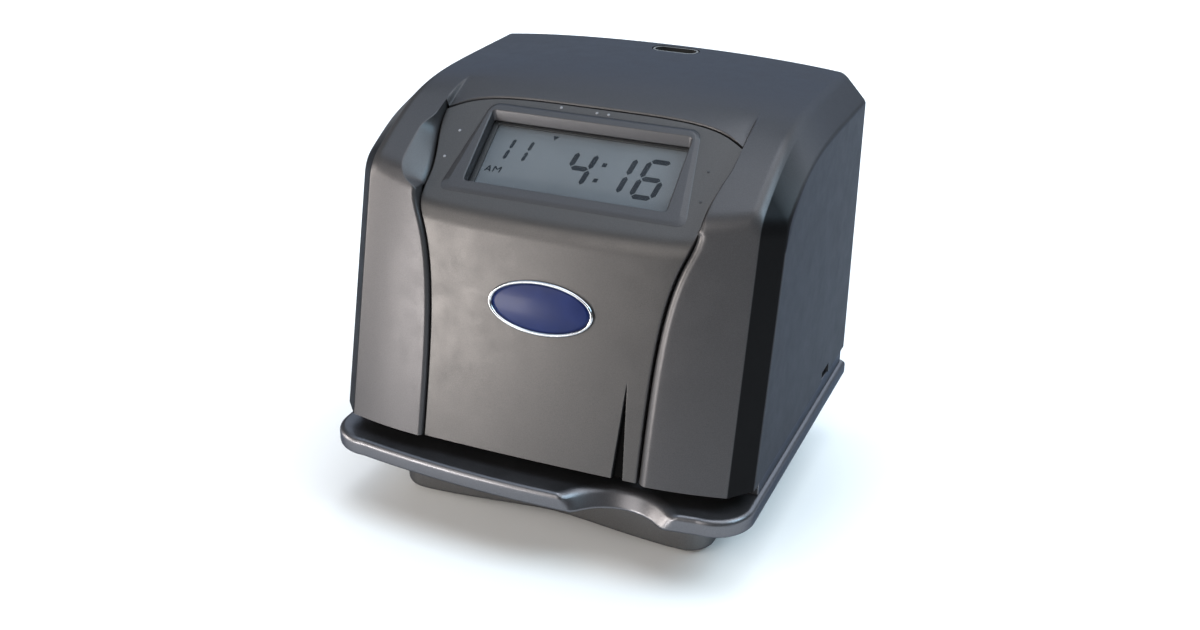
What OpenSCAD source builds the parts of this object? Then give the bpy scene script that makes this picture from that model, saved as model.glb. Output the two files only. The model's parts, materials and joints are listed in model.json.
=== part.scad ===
// Desk time recorder: a lift-off case over a print mechanism, on a paper table and a pedestal.
// X runs to the right, Y to the back, Z up; the origin is under the middle of the table, on the desk.

/* [Case] */
// Width across the two side walls
case_w = 192; // [180:1:210]
// Depth from the front edge of the table to the back plate
overall_d = 172; // [166:1:190]
// Height of the case from its lower edge to the top of its crown
case_h = 142; // [138:1:156]
// Wall of the moulded shells
wall = 3; // [2:0.25:4]
// Lean of the front face from upright, in degrees
front_lean = 13.5; // [9:0.5:16]
// Height of the hood, from the fold over the front panel to the top of the crown
hood_h = 46; // [44:0.5:50]
// Slope of the display face, in degrees
display_slope = 36.3; // [33:0.1:40]
// Radius of the long curve over the shoulders
shoulder_r = 172; // [160:1:190]
// Radius of the crown across the top
crown_r = 675; // [500:5:1000]
// Width of the bevel between the top and each side wall
bevel_w = 11; // [8:0.5:14]
// Fall of that bevel
bevel_drop = 10.5; // [5:0.5:12]
// Half width of the lower panel at its bottom seam
panel_half = 50.5; // [45:0.5:54]
// How far the seam flares outwards at the fold
flare = 11.5; // [8:0.5:14]
// Half width of the display face between the shoulders
display_half = 67.8; // [66:0.2:70]
// Open seam between the fascia and the case
seam = 1.2; // [0.8:0.1:1.6]
// Roundness of the folds
fold_round = 6; // [3:0.5:8]

/* [Table and pedestal] */
// How far the table stands in front of the case
table_lip = 9; // [6:0.5:12]
// How far the table stands out past each side wall
table_side = 1.5; // [1.5:0.5:6]
// Thickness of the table
table_t = 8; // [6:0.5:10]
// Height of the paper slot between table and case
throat_h = 7; // [6.6:0.1:9]
// Width of the finger scallop in the table's front edge
scallop_w = 50; // [36:1:60]
// Depth of the finger scallop
scallop_d = 14.5; // [8:0.5:18]
// Width of the pedestal
pedestal_w = 150; // [120:1:170]
// Depth of the pedestal
pedestal_d = 135; // [120:1:140]
// Height of the pedestal
pedestal_h = 27; // [18:1:34]
// Height of a rubber foot
foot_h = 2; // [1.5:0.5:5]
// Radius of a rubber foot
foot_r = 8; // [5:0.5:12]

/* [Display] */
// Width of the display glass
glass_w = 96; // [90:1:100]
// Length of the display glass up the slope
glass_l = 37.5; // [34:0.5:40]
// Thickness of the display glass
glass_t = 2.8; // [2:0.1:3.5]
// Depth of the glass below the display face
glass_depth = 5.2; // [4.8:0.1:6.5]
// Width of the clear opening in the bezel
view_w = 90; // [80:1:92]
// Length of the clear opening in the bezel, which reaches below the glass's picture
view_l = 35.4; // [31:0.2:37]
// Height of the bezel above the display face
bezel_proud = 1.2; // [0.8:0.1:2]
// Thickness of the display window
window_t = 1.3; // [0.8:0.1:1.6]

/* [Print mechanism] */
// Distance of the print line's centre from the right side wall
print_inset = 55; // [54:0.5:60]
// Distance of the print line behind the case's lower front edge
print_depth = 30; // [28:0.5:33]
// Carriage travel to each side of the centre
carriage_travel = 20; // [14:1:21]
// Thickness of the frame plates
frame_t = 2; // [1.5:0.25:2.5]
// Height of the two rails above the table
rail_h = 34; // [32:0.5:38]
// Radius of the guide shaft and the lead screw
rail_r = 3; // [2.5:0.25:4]
// Teeth on the lead screw's gear
gear_teeth = 36; // [36:2:40]
// Teeth on the motor pinion
pinion_teeth = 18; // [18:1:20]
// Gear module
gear_module = 1; // [0.9:0.05:1]
// Radius of the motor
motor_r = 14.5; // [11:0.5:15]
// Length of the motor
motor_l = 32; // [20:1:40]
// Radius of the ribbon knob
knob_r = 7; // [5:0.5:9]
// Running clearance of shafts in their bores
run_gap = 0.05; // [0.02:0.01:0.09]

/* [Lock, inlet and wall holes] */
// Place of the key lock to the right of the middle
lock_x = 6; // [-10:1:12]
// Radius of the lock barrel
lock_r = 3; // [2.5:0.1:3.2]
// Radius of a wall-screw hole in the back plate
wall_hole_r = 2.5; // [2:0.25:3.5]
// Spacing of the wall holes across
wall_hole_dx = 120; // [90:5:140]
// Spacing of the wall holes up
wall_hole_dz = 60; // [40:5:70]
// Radius of the power inlet's barrel
inlet_r = 5; // [4:0.25:6]

/* [Hidden] */
$fn = 64;

// Clearances
eps = 0.01;
slip = 0.4;
fit_gap = 0.05;
hole_slip = 0.02;
cut_over = 20;

// Levels and main places
half_w = case_w / 2;
back_y = overall_d / 2;
table_front = -overall_d / 2;
front_y = table_front + table_lip;
table_low = foot_h + pedestal_h;
table_z = table_low + table_t;
case_z = table_z + throat_h;
top_z = case_z + case_h;
fold_z = top_z - hood_h;
plate_t = 2.5;
plate_y = back_y - plate_t;
print_x = half_w - print_inset;
print_y = front_y + print_depth;

// Widths across the print bay: the carriage's travel, the ribbon's arms beside it, then the frames
carriage_w = 22;
arm_w = 6;
arm_room = 1;
bay_room = 4;
cart_half = carriage_travel + carriage_w / 2 + arm_room + arm_w;
bay_w = 2 * (cart_half + bay_room);
bay_left = print_x - bay_w / 2;
bay_right = print_x + bay_w / 2;

// Case curves: a gentle bow across the panel, a tighter one round the pillars, then the corner's chamfer
bow_r = 1500;
pillar_r = 176;
corner_run = 8.5;
corner_depth = 7.5;
apex_run = 131;
apex_y = front_y + apex_run;
apex_rise = 0.5;
arc_steps = 8;
bow_lap = 2.5;
bow_flat = panel_half - bow_lap;

function bow_face(a) =
  a <= bow_flat ? a * a / (2 * bow_r)
  : let (d = a - bow_flat)
    bow_flat * bow_flat / (2 * bow_r) + d * bow_flat / bow_r + d * d / (2 * pillar_r);
function bow(a) = bow_face(a) + corner_depth * max(0, (a - half_w) / corner_run + 1);
function bevel(a) = max(0, a - (half_w - bevel_w)) * bevel_drop / bevel_w;
function crown(a) = top_z - a * a / (2 * crown_r);
function front_at(z, t = 0) = front_y + (z - case_z) * tan(front_lean) + t / cos(front_lean);

// Height where the leaning front line, moved back by s, meets the shoulder's arc of radius r about height cz
function fold_height(s, r, cz) =
  let (b = tan(front_lean), a = front_at(0) + s - apex_y)
  let (p = 1 + b * b, q = b * a - cz, c = a * a + cz * cz - r * r)
  (-q + sqrt(q * q - p * c)) / p;

// Side outline of the case at distance a from the middle, drawn in by t and cut off at low and back
function case_section(a, t, low, back) =
  let (s = bow(a) + t / cos(front_lean), r = shoulder_r - t)
  let (cz = top_z + apex_rise - shoulder_r - bevel(a), roof = crown(a) - bevel(a) - t)
  let (fz = fold_height(s, r, cz), fy = front_at(fz) + s)
  let (f = fold_round, tilt = asin((apex_y - fy) / r))
  let (before = [fy - f * sin(front_lean), fz - f * cos(front_lean)])
  let (after = [fy + f * cos(tilt), fz + f * sin(tilt)])
  concat(
    [[front_at(low) + s, low], before, (before + 2 * [fy, fz] + after) / 4],
    [for (i = [0:arc_steps])
      let (y = after[0] + (apex_y - after[0]) * i / arc_steps)
      [y, min(roof, cz + sqrt(r * r - (y - apex_y) * (y - apex_y)))]],
    [[back, roof], [back, low]]);

// Solid skinned over the side outlines at stations across the case
pillar_mid = (bow_flat + half_w - bevel_w) / 2;
right = [0, bow_flat / 2, bow_flat, pillar_mid, half_w - bevel_w, half_w - corner_run, half_w];
module case_loft(t, low, back) {
  last = len(right) - 1;
  stations = concat([for (i = [last:-1:1]) -right[i]], right);
  squeeze = (half_w - t) / half_w;
  rings = [for (x = stations) [for (p = case_section(abs(x), t, low, back)) [x * squeeze, p[0], p[1]]]];
  n = len(rings[0]);
  m = len(rings);
  skin = [for (i = [0:m - 2], j = [0:n - 1]) let (k = (j + 1) % n, a = i * n, b = a + n)
    each [[a + j, b + k, b + j], [a + j, a + k, b + k]]];
  far = (m - 1) * n;
  caps = [for (j = [1:n - 2]) each [[0, j + 1, j], [far, far + j, far + j + 1]]];
  polyhedron([for (ring = rings, p = ring) p], concat(skin, caps), convexity = 6);
}

// Display face: distance up its slope from the fold is u, height above it is n
face_inset = 2;
face_y = front_at(fold_z) + face_inset;
function face_point(u, n = 0) =
  [face_y + u * cos(display_slope) - n * sin(display_slope),
    fold_z + u * sin(display_slope) + n * cos(display_slope)];
module on_face(u = 0, n = 0) {
  translate([0, face_point(u, n)[0], face_point(u, n)[1]]) rotate([display_slope, 0, 0]) children();
}
module on_front(z) {
  translate([0, front_at(z), z]) rotate([-front_lean, 0, 0]) children();
}
module on_side(side) {
  mirror([side < 0 ? 1 : 0, 0, 0]) children();
}
module along_x(x0, x1) {
  translate([x0, 0, 0]) rotate([90, 0, 90]) linear_extrude(x1 - x0) children();
}
module along_y(y0, y1) {
  translate([0, y1, 0]) rotate([90, 0, 0]) linear_extrude(y1 - y0) children();
}
module rod_x(r, x0, x1, y, z) {
  translate([x0, y, z]) rotate([0, 90, 0]) cylinder(r = r, h = x1 - x0);
}
module block(low, high) {
  translate(low) cube(high - low);
}
module round_rect(x0, x1, y0, y1, r) {
  translate([x0 + r, y0]) square([x1 - x0 - 2 * r, y1 - y0]);
  translate([x0, y0 + r]) square([x1 - x0, y1 - y0 - 2 * r]);
  for (x = [x0 + r, x1 - r], y = [y0 + r, y1 - r])
    translate([x, y]) circle(r = r);
}

// Everything above the display face between the shoulders; the outer cut rolls over the fold
face_reach = 140;
fold_u = -face_inset / (cos(display_slope) - sin(display_slope) * tan(front_lean));
module display_cut(t, side) {
  f = t > 0 ? eps : fold_round;
  start = face_point(fold_u + f, -t);
  corner = face_point(fold_u, -t);
  below = corner - f * [sin(front_lean), cos(front_lean)];
  end = face_point(face_reach, -t);
  ahead = front_y - face_reach;
  along_x(-display_half - side, display_half + side)
    polygon([end, start, (start + 2 * corner + below) / 4, below, [ahead, below[1]], [ahead, end[1]]]);
}
module case_shell() {
  difference() {
    case_loft(0, case_z, back_y);
    intersection() {
      display_cut(0, seam);
      front_prism(seam, top_z + cut_over, back_y);
    }
    difference() {
      case_loft(wall, case_z - 1, back_y + 1);
      display_cut(wall, seam + wall);
    }
  }
}

// Front view of the fascia: seams that flare to the display face, grown by g for the hole in the case,
// and carried up to top for the recess between the shoulders
flare_len = 18;
fascia_u = 60;
seam_steps = 14;
seam_low = case_z - 5;
fascia_top = face_point(fascia_u)[1];
flare_top = fold_z + flare_len * ln((display_half - panel_half) / flare);
function seam_x(z) = panel_half + flare * exp((z - fold_z) / flare_len);
function seam_side(g, top) =
  concat([for (i = [0:seam_steps])
      let (z = seam_low + (flare_top - seam_low) * i / seam_steps) [seam_x(z) + g, z]],
    [[display_half + g, top]]);
module front_prism(g, top, back) {
  edge = seam_side(g, top);
  along_y(front_y - cut_over, back)
    polygon(concat(edge, [for (i = [len(edge) - 1:-1:0]) [-edge[i][0], edge[i][1]]]));
}
module fascia_region(g) {
  front_prism(g, fascia_top + g, face_point(fascia_u)[0] + cut_over);
}

// Lugs behind the fascia that lap the pillars
lug_rises = [18, 62];
lug_root = 5;
lug_lap = 8;
lug_h = 14;
lug_t = 2.5;
lug_bite = 1;
module fascia_lugs() {
  for (rise = lug_rises, side = [-1, 1]) {
    edge = seam_x(case_z + rise);
    back = wall + bow_face(edge + seam + lug_lap) + slip;
    on_front(case_z + rise) on_side(side) {
      block([edge - lug_root - 1, wall - lug_bite, 0], [edge - 1, back + lug_t, lug_h]);
      block([edge - lug_root - 1, back, 0], [edge + seam + lug_lap, back + lug_t, lug_h]);
    }
  }
}

// Pieces of the display stack, by half width and by the span up the slope
glass_u = 35.8;
view_drop = 2;
view_u = glass_u - view_drop;
glass_rim = 4;
window_rim = 2;
bezel_rim = 3.2;
bezel_foot = 11;
bezel_rim_l = 7;
bezel_clear = 2.5;
board_rim = 3;
board_t = 1.6;
window_n = -wall;
glass_n = -glass_depth;
frame_floor = 1.4;
frame_n = glass_n - glass_t - frame_floor;
module face_plate(w, l, n0, n1, u = glass_u) {
  on_face(u, n0) translate([-w / 2, -l / 2, 0]) cube([w, l, n1 - n0]);
}

// Badge on the front panel
badge_drop = 32;
badge_z = fold_z - badge_drop;
badge_a = 25;
badge_b = 11.5;
badge_lip = 2;
badge_t = 2.2;
badge_seat = 1;
function oval(a, b) = [for (i = [0:5:355]) [a * cos(i), b * sin(i)]];
module badge_slab(a, b, depth, proud) {
  on_front(badge_z) translate([0, depth, 0]) rotate([90, 0, 0])
    linear_extrude(depth + proud) polygon(oval(a, b));
}

// Wedge mark that points at the print line
mark_w = 5;
mark_h = 41;
mark_depth = 1.8;

// Pry notches in the side walls' lower edges, and the lock's slot in the top
notch_in = 42;
notch_y = back_y - notch_in;
notch_l = 12;
notch_h = 5;
lock_l = 22;
lock_w = 9;
lock_room = 1;
lock_y = plate_y - lock_w / 2 - lock_room;
lock_wall = 0.9;
lock_sunk = 1.5;
lock_floor = 10;

module lock_slot(grow, low, high) {
  half_l = lock_l / 2 + grow;
  half = lock_w / 2 + grow;
  translate([lock_x, lock_y, low]) linear_extrude(high - low)
    round_rect(-half_l, half_l, -half, half, half - eps);
}

module case_cover() {
  color([0.30, 0.31, 0.34])
    difference() {
      case_shell();
      fascia_region(seam);
      lock_slot(hole_slip, top_z - cut_over, top_z + cut_over);
      block([-half_w - 1, notch_y, case_z - 1], [half_w + 1, notch_y + notch_l, case_z + notch_h]);
    }
}
module front_fascia() {
  color([0.42, 0.42, 0.44])
    difference() {
      union() {
        intersection() {
          case_shell();
          fascia_region(0);
        }
        fascia_lugs();
      }
      face_plate(bezel_plug_w + 2 * hole_slip, bezel_plug_l + 2 * hole_slip, -cut_over / 2, cut_over / 2,
        view_u);
      badge_slab(badge_a + slip / 2, badge_b + slip / 2, badge_seat, cut_over);
      on_front(case_z) translate([print_x, mark_depth, 0]) rotate([90, 0, 0]) linear_extrude(cut_over)
        polygon([[-mark_w / 2, -cut_over], [mark_w / 2, -cut_over], [mark_w / 2, 0], [0, mark_h],
          [-mark_w / 2, 0]]);
    }
}
bezel_low = view_w / 2 + bezel_foot;
bezel_high = view_w / 2 + bezel_rim;
bezel_l = view_l / 2 + bezel_rim_l;
bezel_plug_w = view_w + 2 * bezel_clear;
bezel_plug_l = view_l + 2 * bezel_clear;
window_w = bezel_plug_w + 2 * window_rim;
window_l = bezel_plug_l + 2 * window_rim;
module display_bezel() {
  color([0.36, 0.37, 0.40])
    difference() {
      union() {
        face_plate(bezel_plug_w, bezel_plug_l, window_n, bezel_proud / 2, view_u);
        on_face(view_u) linear_extrude(bezel_proud) polygon(
          [[-bezel_low, -bezel_l], [bezel_low, -bezel_l], [bezel_high, bezel_l], [-bezel_high, bezel_l]]);
      }
      face_plate(view_w, view_l, -cut_over, cut_over, view_u);
    }
}
module display_window() {
  color([0.75, 0.80, 0.80, 0.4])
    face_plate(window_w, window_l, window_n - window_t, window_n, view_u);
}
module badge_rim() {
  color([0.75, 0.76, 0.78])
    difference() {
      badge_slab(badge_a, badge_b, badge_seat, badge_t - badge_seat);
      badge_slab(badge_a - badge_lip, badge_b - badge_lip, cut_over, cut_over);
    }
}
module badge_plate() {
  color([0.10, 0.16, 0.36])
    badge_slab(badge_a - badge_lip - hole_slip, badge_b - badge_lip - hole_slip, badge_seat,
      badge_t / 2 - badge_seat);
}

// Lock: a cup in the top, a barrel in the cup's floor and a cam that swings under the keeper
cup_top = crown(abs(lock_x) + lock_l / 2) - lock_sunk;
cup_low = cup_top - lock_floor;
cup_floor = 2;
cam_t = 2;
cam_l = 10;
cam_rim = 1;
cam_drop = 10;
cam_z = cup_low - cam_drop;
barrel_rise = 4;
barrel_top = cup_low + cup_floor + barrel_rise;
collar_h = 2;
collar_rim = 0.2;
keeper_room = 0.5;
keeper_right = lock_x - lock_r - cam_rim - keeper_room;
keeper_t = 2;
keeper_gap = 0.6;
keeper_w = 6;
module lock_cup() {
  color([0.12, 0.12, 0.13])
    difference() {
      lock_slot(0, cup_low, cup_top);
      lock_slot(-lock_wall, cup_low + cup_floor, cup_top + 1);
      translate([lock_x, lock_y, cup_low - 1]) cylinder(r = lock_r + run_gap, h = cup_floor + 2);
    }
}
key_w = 1;
key_l = 4;
key_deep = 3;
module lock_barrel() {
  color([0.72, 0.70, 0.62])
    translate([lock_x, lock_y, 0])
      difference() {
        union() {
          translate([0, 0, cam_z + cam_t]) cylinder(r = lock_r, h = barrel_top - cam_z - cam_t);
          translate([0, 0, cup_low - collar_h]) cylinder(r = lock_r + cam_rim, h = collar_h - slip);
          translate([0, 0, cup_low + cup_floor + slip]) cylinder(r = lock_r + collar_rim, h = collar_h);
        }
        block([-key_l / 2, -key_w / 2, barrel_top - key_deep], [key_l / 2, key_w / 2, barrel_top + 1]);
      }
}
module lock_cam() {
  color([0.60, 0.61, 0.62])
    translate([lock_x, lock_y, cam_z]) {
      cylinder(r = lock_r + cam_rim, h = cam_t);
      translate([-lock_r, -cam_l, 0]) cube([2 * lock_r, cam_l, cam_t]);
    }
}

// Back plate, inlet and keeper
plate_side = 0.6;
plate_half = half_w - wall - plate_side;
plate_foot = 9;
plate_foot_w = 60;
plate_screw_dx = 44;
plate_screw_y = plate_y - plate_foot / 2;
wall_hole_drop = 2;
wall_hole_z = (case_z + top_z) / 2 - wall_hole_drop;
inlet_in = 26;
inlet_rise = 22;
inlet_x = inlet_in - half_w;
inlet_z = table_z + inlet_rise;
screw_r = 1.5;
screw_head_r = 3;
screw_head_h = 2;
screw_l = 7;
plate_steps = 12;
function plate_top(x) =
  let (a = abs(x) * half_w / (half_w - wall)) crown(a) - bevel(a) - wall - plate_side;
module back_plate() {
  color([0.45, 0.46, 0.48])
    difference() {
      union() {
        along_y(plate_y, back_y)
          polygon(concat([[-plate_half, table_z]],
            [for (i = [0:plate_steps]) let (x = plate_half * (2 * i / plate_steps - 1)) [x, plate_top(x)]],
            [[plate_half, table_z]]));
        block([-plate_foot_w, plate_y - plate_foot, table_z],
          [plate_foot_w, plate_y + eps, table_z + frame_t]);
      }
      for (x = [-1, 1], z = [-1, 1])
        translate([x * wall_hole_dx / 2, back_y + 1, wall_hole_z + z * wall_hole_dz / 2])
          rotate([90, 0, 0]) cylinder(r = wall_hole_r, h = plate_t + 2);
      translate([inlet_x, back_y + 1, inlet_z]) rotate([90, 0, 0])
        cylinder(r = inlet_r + hole_slip, h = plate_t + 2);
      for (x = [-1, 1])
        translate([x * plate_screw_dx, plate_screw_y, table_z - 1])
          cylinder(r = screw_r + hole_slip, h = frame_t + 2);
    }
}
module screw_down(x, y, z) {
  translate([x, y, z]) cylinder(r = screw_head_r, h = screw_head_h);
  translate([x, y, z - screw_l]) cylinder(r = screw_r, h = screw_l);
}
module plate_screws() {
  color([0.70, 0.70, 0.72])
    for (x = [-1, 1])
      screw_down(x * plate_screw_dx, plate_screw_y, table_z + frame_t);
}
inlet_bore = 3.2;
inlet_pin = 1;
inlet_deep = 9;
inlet_box = 13;
module power_inlet() {
  color([0.08, 0.08, 0.09])
    translate([inlet_x, 0, inlet_z])
      difference() {
        union() {
          translate([0, back_y, 0]) rotate([90, 0, 0]) cylinder(r = inlet_r, h = plate_t);
          block([-inlet_box / 2, plate_y - inlet_box, -inlet_box / 2],
            [inlet_box / 2, plate_y, inlet_box / 2]);
        }
        difference() {
          translate([0, back_y + 1, 0]) rotate([90, 0, 0]) cylinder(r = inlet_bore, h = inlet_deep + 1);
          translate([0, back_y - 1, 0]) rotate([90, 0, 0]) cylinder(r = inlet_pin, h = inlet_deep);
        }
      }
}
module lock_keeper() {
  color([0.62, 0.63, 0.65])
    block([keeper_right - keeper_w, lock_y - lock_r - cam_rim, cam_z + cam_t + keeper_gap],
      [keeper_right, plate_y, cam_z + cam_t + keeper_gap + keeper_t]);
}

// Table with its side risers; the case stands on their steps
table_corner = 18;
table_bow = 6;
table_half = half_w + table_side;
bow_side = 2;
bow_half = table_half - table_corner - bow_side;
table_bow_r = (bow_half * bow_half + table_bow * table_bow) / (2 * table_bow);
riser_t = 3;
riser_in = half_w - wall - slip - riser_t;
riser_rise = 9;
riser_front = front_at(case_z + riser_rise, wall) + bow(half_w) + slip;
step_in = 0.5;
scallop_off = 4.5;
scallop_x = print_x + scallop_off;
scallop_r = (scallop_w * scallop_w / 4 + scallop_d * scallop_d) / (2 * scallop_d);
scallop_y = table_front + table_bow * pow(scallop_x / bow_half, 2) + scallop_d - scallop_r;
scallop_dish = 6;
platen_over = 11;
platen_w = 2 * (carriage_travel + platen_over);
platen_d = 12;
platen_t = 3;
stop_reach = 45;
stop_y = print_y + stop_reach;
stop_t = 3;
stop_side = 5;
stop_lift = 0.3;
stop_fore = 5;
stop_aft = 6;
stop_room = 1.5;
stop_h = throat_h - stop_room;
tongue_w = 4;
tongue_deep = 3;
tongue_dx = 19;
tongue_xs = [print_x - tongue_dx, print_x + tongue_dx];
foot_flange = 12;
throat_room = 1;
throat_back = stop_y - stop_fore - throat_room;
frame_inset = 16;
frame_back = back_y - frame_inset;
foot_fore = 28;
foot_aft = 20;
foot_end = 8;
frame_screw_ys = [throat_back + foot_fore, frame_back - foot_aft];
frame_screw_xs = [bay_left + foot_flange / 2, bay_right - foot_flange / 2];
module table_outline() {
  round_rect(-table_half, table_half, table_front + table_bow, back_y, table_corner);
  translate([-table_half, 0]) square([2 * table_half, back_y]);
  intersection() {
    translate([0, table_front + table_bow_r]) circle(r = table_bow_r, $fn = 256);
    translate([-bow_half - bow_side / 2, table_front - 1]) square([2 * bow_half + bow_side, table_bow + 2]);
  }
}
module riser(side) {
  on_side(side) {
    block([riser_in, riser_front, table_z - eps], [half_w - step_in, plate_y - slip, case_z]);
    block([riser_in, riser_front, table_z - eps],
      [riser_in + riser_t, plate_y - slip, case_z + riser_rise]);
  }
}
module base_tray() {
  color([0.16, 0.17, 0.20])
    difference() {
      union() {
        translate([0, 0, table_low]) linear_extrude(table_t) table_outline();
        riser(1);
        riser(-1);
      }
      translate([scallop_x, scallop_y, table_low - 1])
        cylinder(r1 = scallop_r - scallop_dish, r2 = scallop_r, h = table_t + 1 + eps, $fn = 128);
      block([print_x - platen_w / 2 - fit_gap, print_y - platen_d / 2 - fit_gap, table_z - platen_t],
        [print_x + platen_w / 2 + fit_gap, print_y + platen_d / 2 + fit_gap, table_z + 1]);
      for (x = tongue_xs)
        block([x - tongue_w / 2 - run_gap, stop_y - stop_fore - slip, table_z - tongue_deep - slip],
          [x + tongue_w / 2 + run_gap, stop_y + stop_t + stop_aft + slip, table_z + 1]);
      for (x = [-1, 1])
        translate([x * plate_screw_dx, plate_screw_y, table_z + frame_t - screw_l])
          cylinder(r = screw_r + hole_slip, h = screw_l);
      for (x = frame_screw_xs, y = frame_screw_ys)
        translate([x, y, table_z + frame_t - screw_l]) cylinder(r = screw_r + hole_slip, h = screw_l);
    }
}
module platen() {
  color([0.06, 0.06, 0.06])
    block([print_x - platen_w / 2, print_y - platen_d / 2, table_z - platen_t],
      [print_x + platen_w / 2, print_y + platen_d / 2, table_z]);
}
module card_stop() {
  color([0.55, 0.56, 0.58]) {
    block([bay_left + stop_side, stop_y, table_z + stop_lift],
      [bay_right - stop_side, stop_y + stop_t, table_z + stop_h]);
    for (x = tongue_xs)
      block([x - tongue_w / 2, stop_y, table_z - tongue_deep],
        [x + tongue_w / 2, stop_y + stop_t, table_z + stop_lift + eps]);
  }
}

// Pedestal: a shell under the table with a hollowed front, on four feet
pedestal_inset = 6;
pedestal_back = back_y - pedestal_inset;
pedestal_front = pedestal_back - pedestal_d;
pedestal_corner = 12;
hollow = 6;
hollow_half = pedestal_w / 2 - pedestal_corner;
hollow_r = (hollow_half * hollow_half + hollow * hollow) / (2 * hollow);
foot_dx = pedestal_w / 2 - pedestal_corner - foot_r / 2;
foot_room = 5;
foot_ys = [pedestal_front + hollow + foot_room + foot_r, pedestal_back - foot_room - foot_r];
module pedestal() {
  color([0.13, 0.13, 0.15])
    difference() {
      translate([0, 0, foot_h]) linear_extrude(pedestal_h)
        round_rect(-pedestal_w / 2, pedestal_w / 2, pedestal_front, pedestal_back, pedestal_corner);
      translate([0, pedestal_front + hollow - hollow_r, foot_h - 1])
        cylinder(r = hollow_r, h = pedestal_h + 2, $fn = 256);
      translate([0, 0, foot_h + wall]) linear_extrude(pedestal_h)
        round_rect(-pedestal_w / 2 + wall, pedestal_w / 2 - wall,
          pedestal_front + hollow + wall, pedestal_back - wall, pedestal_corner - wall);
    }
}
module rubber_feet() {
  color([0.05, 0.05, 0.05])
    for (x = [-1, 1], y = foot_ys)
      translate([x * foot_dx, y, 0]) cylinder(r = foot_r, h = foot_h);
}

// Mechanism frames: plates that reach forward over the paper slot from feet behind it
rail_z = table_z + rail_h;
guide_fore = 3.5;
guide_y = print_y - guide_fore;
screw_aft = 10;
screw_y = print_y + screw_aft;
arm_lift = 1;
arm_z = case_z + arm_lift;
frame_rise = 34;
frame_top = rail_z + frame_rise;
motor_gap = gear_module * (gear_teeth + pinion_teeth) / 2;
mesh_angle = 39;
motor_y = screw_y + motor_gap * cos(mesh_angle);
motor_z = rail_z + motor_gap * sin(mesh_angle);
bush_wall = 2;
bush_r = rail_r + bush_wall;
bush_flange = 1;
bush_lip = 1.5;
motor_shaft_r = 1.5;
motor_cap = 2;
shaft_deep = 7;
boss_hole = 4.5;
front_room = 1.5;
module frame_plate(x0) {
  outer = max(abs(x0), abs(x0 + frame_t));
  room = front_room + bow(outer * half_w / (half_w - wall));
  difference() {
    along_x(x0, x0 + frame_t)
      polygon([[throat_back, table_z], [frame_back, table_z], [frame_back, frame_top],
        [front_at(frame_top, wall) + room, frame_top], [front_at(arm_z, wall) + room, arm_z],
        [throat_back, arm_z]]);
    rod_x(rail_r + hole_slip, x0 - 1, x0 + frame_t + 1, guide_y, rail_z);
    rod_x(bush_r + hole_slip, x0 - 1, x0 + frame_t + 1, screw_y, rail_z);
  }
}
module foot_plate(x0) {
  difference() {
    block([x0, frame_screw_ys[0] - foot_end, table_z],
      [x0 + foot_flange, frame_screw_ys[1] + foot_end, table_z + frame_t]);
    for (y = frame_screw_ys)
      translate([x0 + foot_flange / 2, y, table_z - 1]) cylinder(r = screw_r + hole_slip, h = frame_t + 2);
  }
}
module frame_left() {
  color([0.66, 0.67, 0.70])
    union() {
      difference() {
        frame_plate(bay_left - frame_t);
        rod_x(boss_hole, bay_left - frame_t - 1, bay_left + 1, motor_y, motor_z);
      }
      foot_plate(bay_left - eps);
    }
}
module frame_right() {
  color([0.66, 0.67, 0.70])
    union() {
      frame_plate(bay_right);
      foot_plate(bay_right - foot_flange + eps);
    }
}
module frame_screws() {
  color([0.70, 0.70, 0.72])
    for (x = frame_screw_xs, y = frame_screw_ys)
      screw_down(x, y, table_z + frame_t);
}
shelf_t = 2;
shelf_z = case_z;
shelf_inset = 2;
cart_aft = 16;
cart_front = print_y + cart_aft;
module cartridge_shelf() {
  color([0.66, 0.67, 0.70])
    block([bay_left, cart_front, shelf_z], [bay_right, throat_back - shelf_inset, shelf_z + shelf_t]);
}
bridge_t = 1.5;
bridge_z = frame_top + bridge_t;
bridge_over = 59;
bridge_left = bay_left - bridge_over;
bridge_aft = 18;
bridge_front = print_y + bridge_aft;
bridge_inset = 8;
bridge_back = frame_back - bridge_inset;
module top_bridge() {
  color([0.66, 0.67, 0.70])
    block([bridge_left, bridge_front, frame_top], [bay_right + frame_t, bridge_back, bridge_z]);
}

// Rails, lead screw and its gear train
gear_t = 5;
gear_room = 1;
gear_x = bay_left - frame_t - bush_flange - gear_room - gear_t;
pinion_over = 0.5;
pressure = 20;
backlash = 0.16;
function roll(angle) = tan(angle) * 180 / PI - angle;
function flank_angle(r, n, m) =
  90 / n - backlash / (m * n) * 180 / PI + roll(pressure)
  - roll(acos(min(1, m * n / 2 * cos(pressure) / r)));
function gear_points(n, m) =
  let (base = m * n / 2 * cos(pressure), root = m * n / 2 - 1.25 * m, tip = m * n / 2 + 0.95 * m)
  let (low = max(base, root), rs = [for (i = [0:3]) low + (tip - low) * i / 3])
  [for (i = [0:n - 1]) let (mid = 360 * i / n)
    each concat([[root, mid - flank_angle(low, n, m)]],
      [for (r = rs) [r, mid - flank_angle(r, n, m)]],
      [for (k = [3:-1:0]) [rs[k], mid + flank_angle(rs[k], n, m)]],
      [[root, mid + flank_angle(low, n, m)]])];
module gear_blank(n, m) {
  polygon([for (p = gear_points(n, m)) p[0] * [cos(p[1]), sin(p[1])]]);
}
module guide_shaft() {
  color([0.78, 0.79, 0.81])
    rod_x(rail_r, bay_left - frame_t, bay_right + frame_t, guide_y, rail_z);
}
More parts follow.
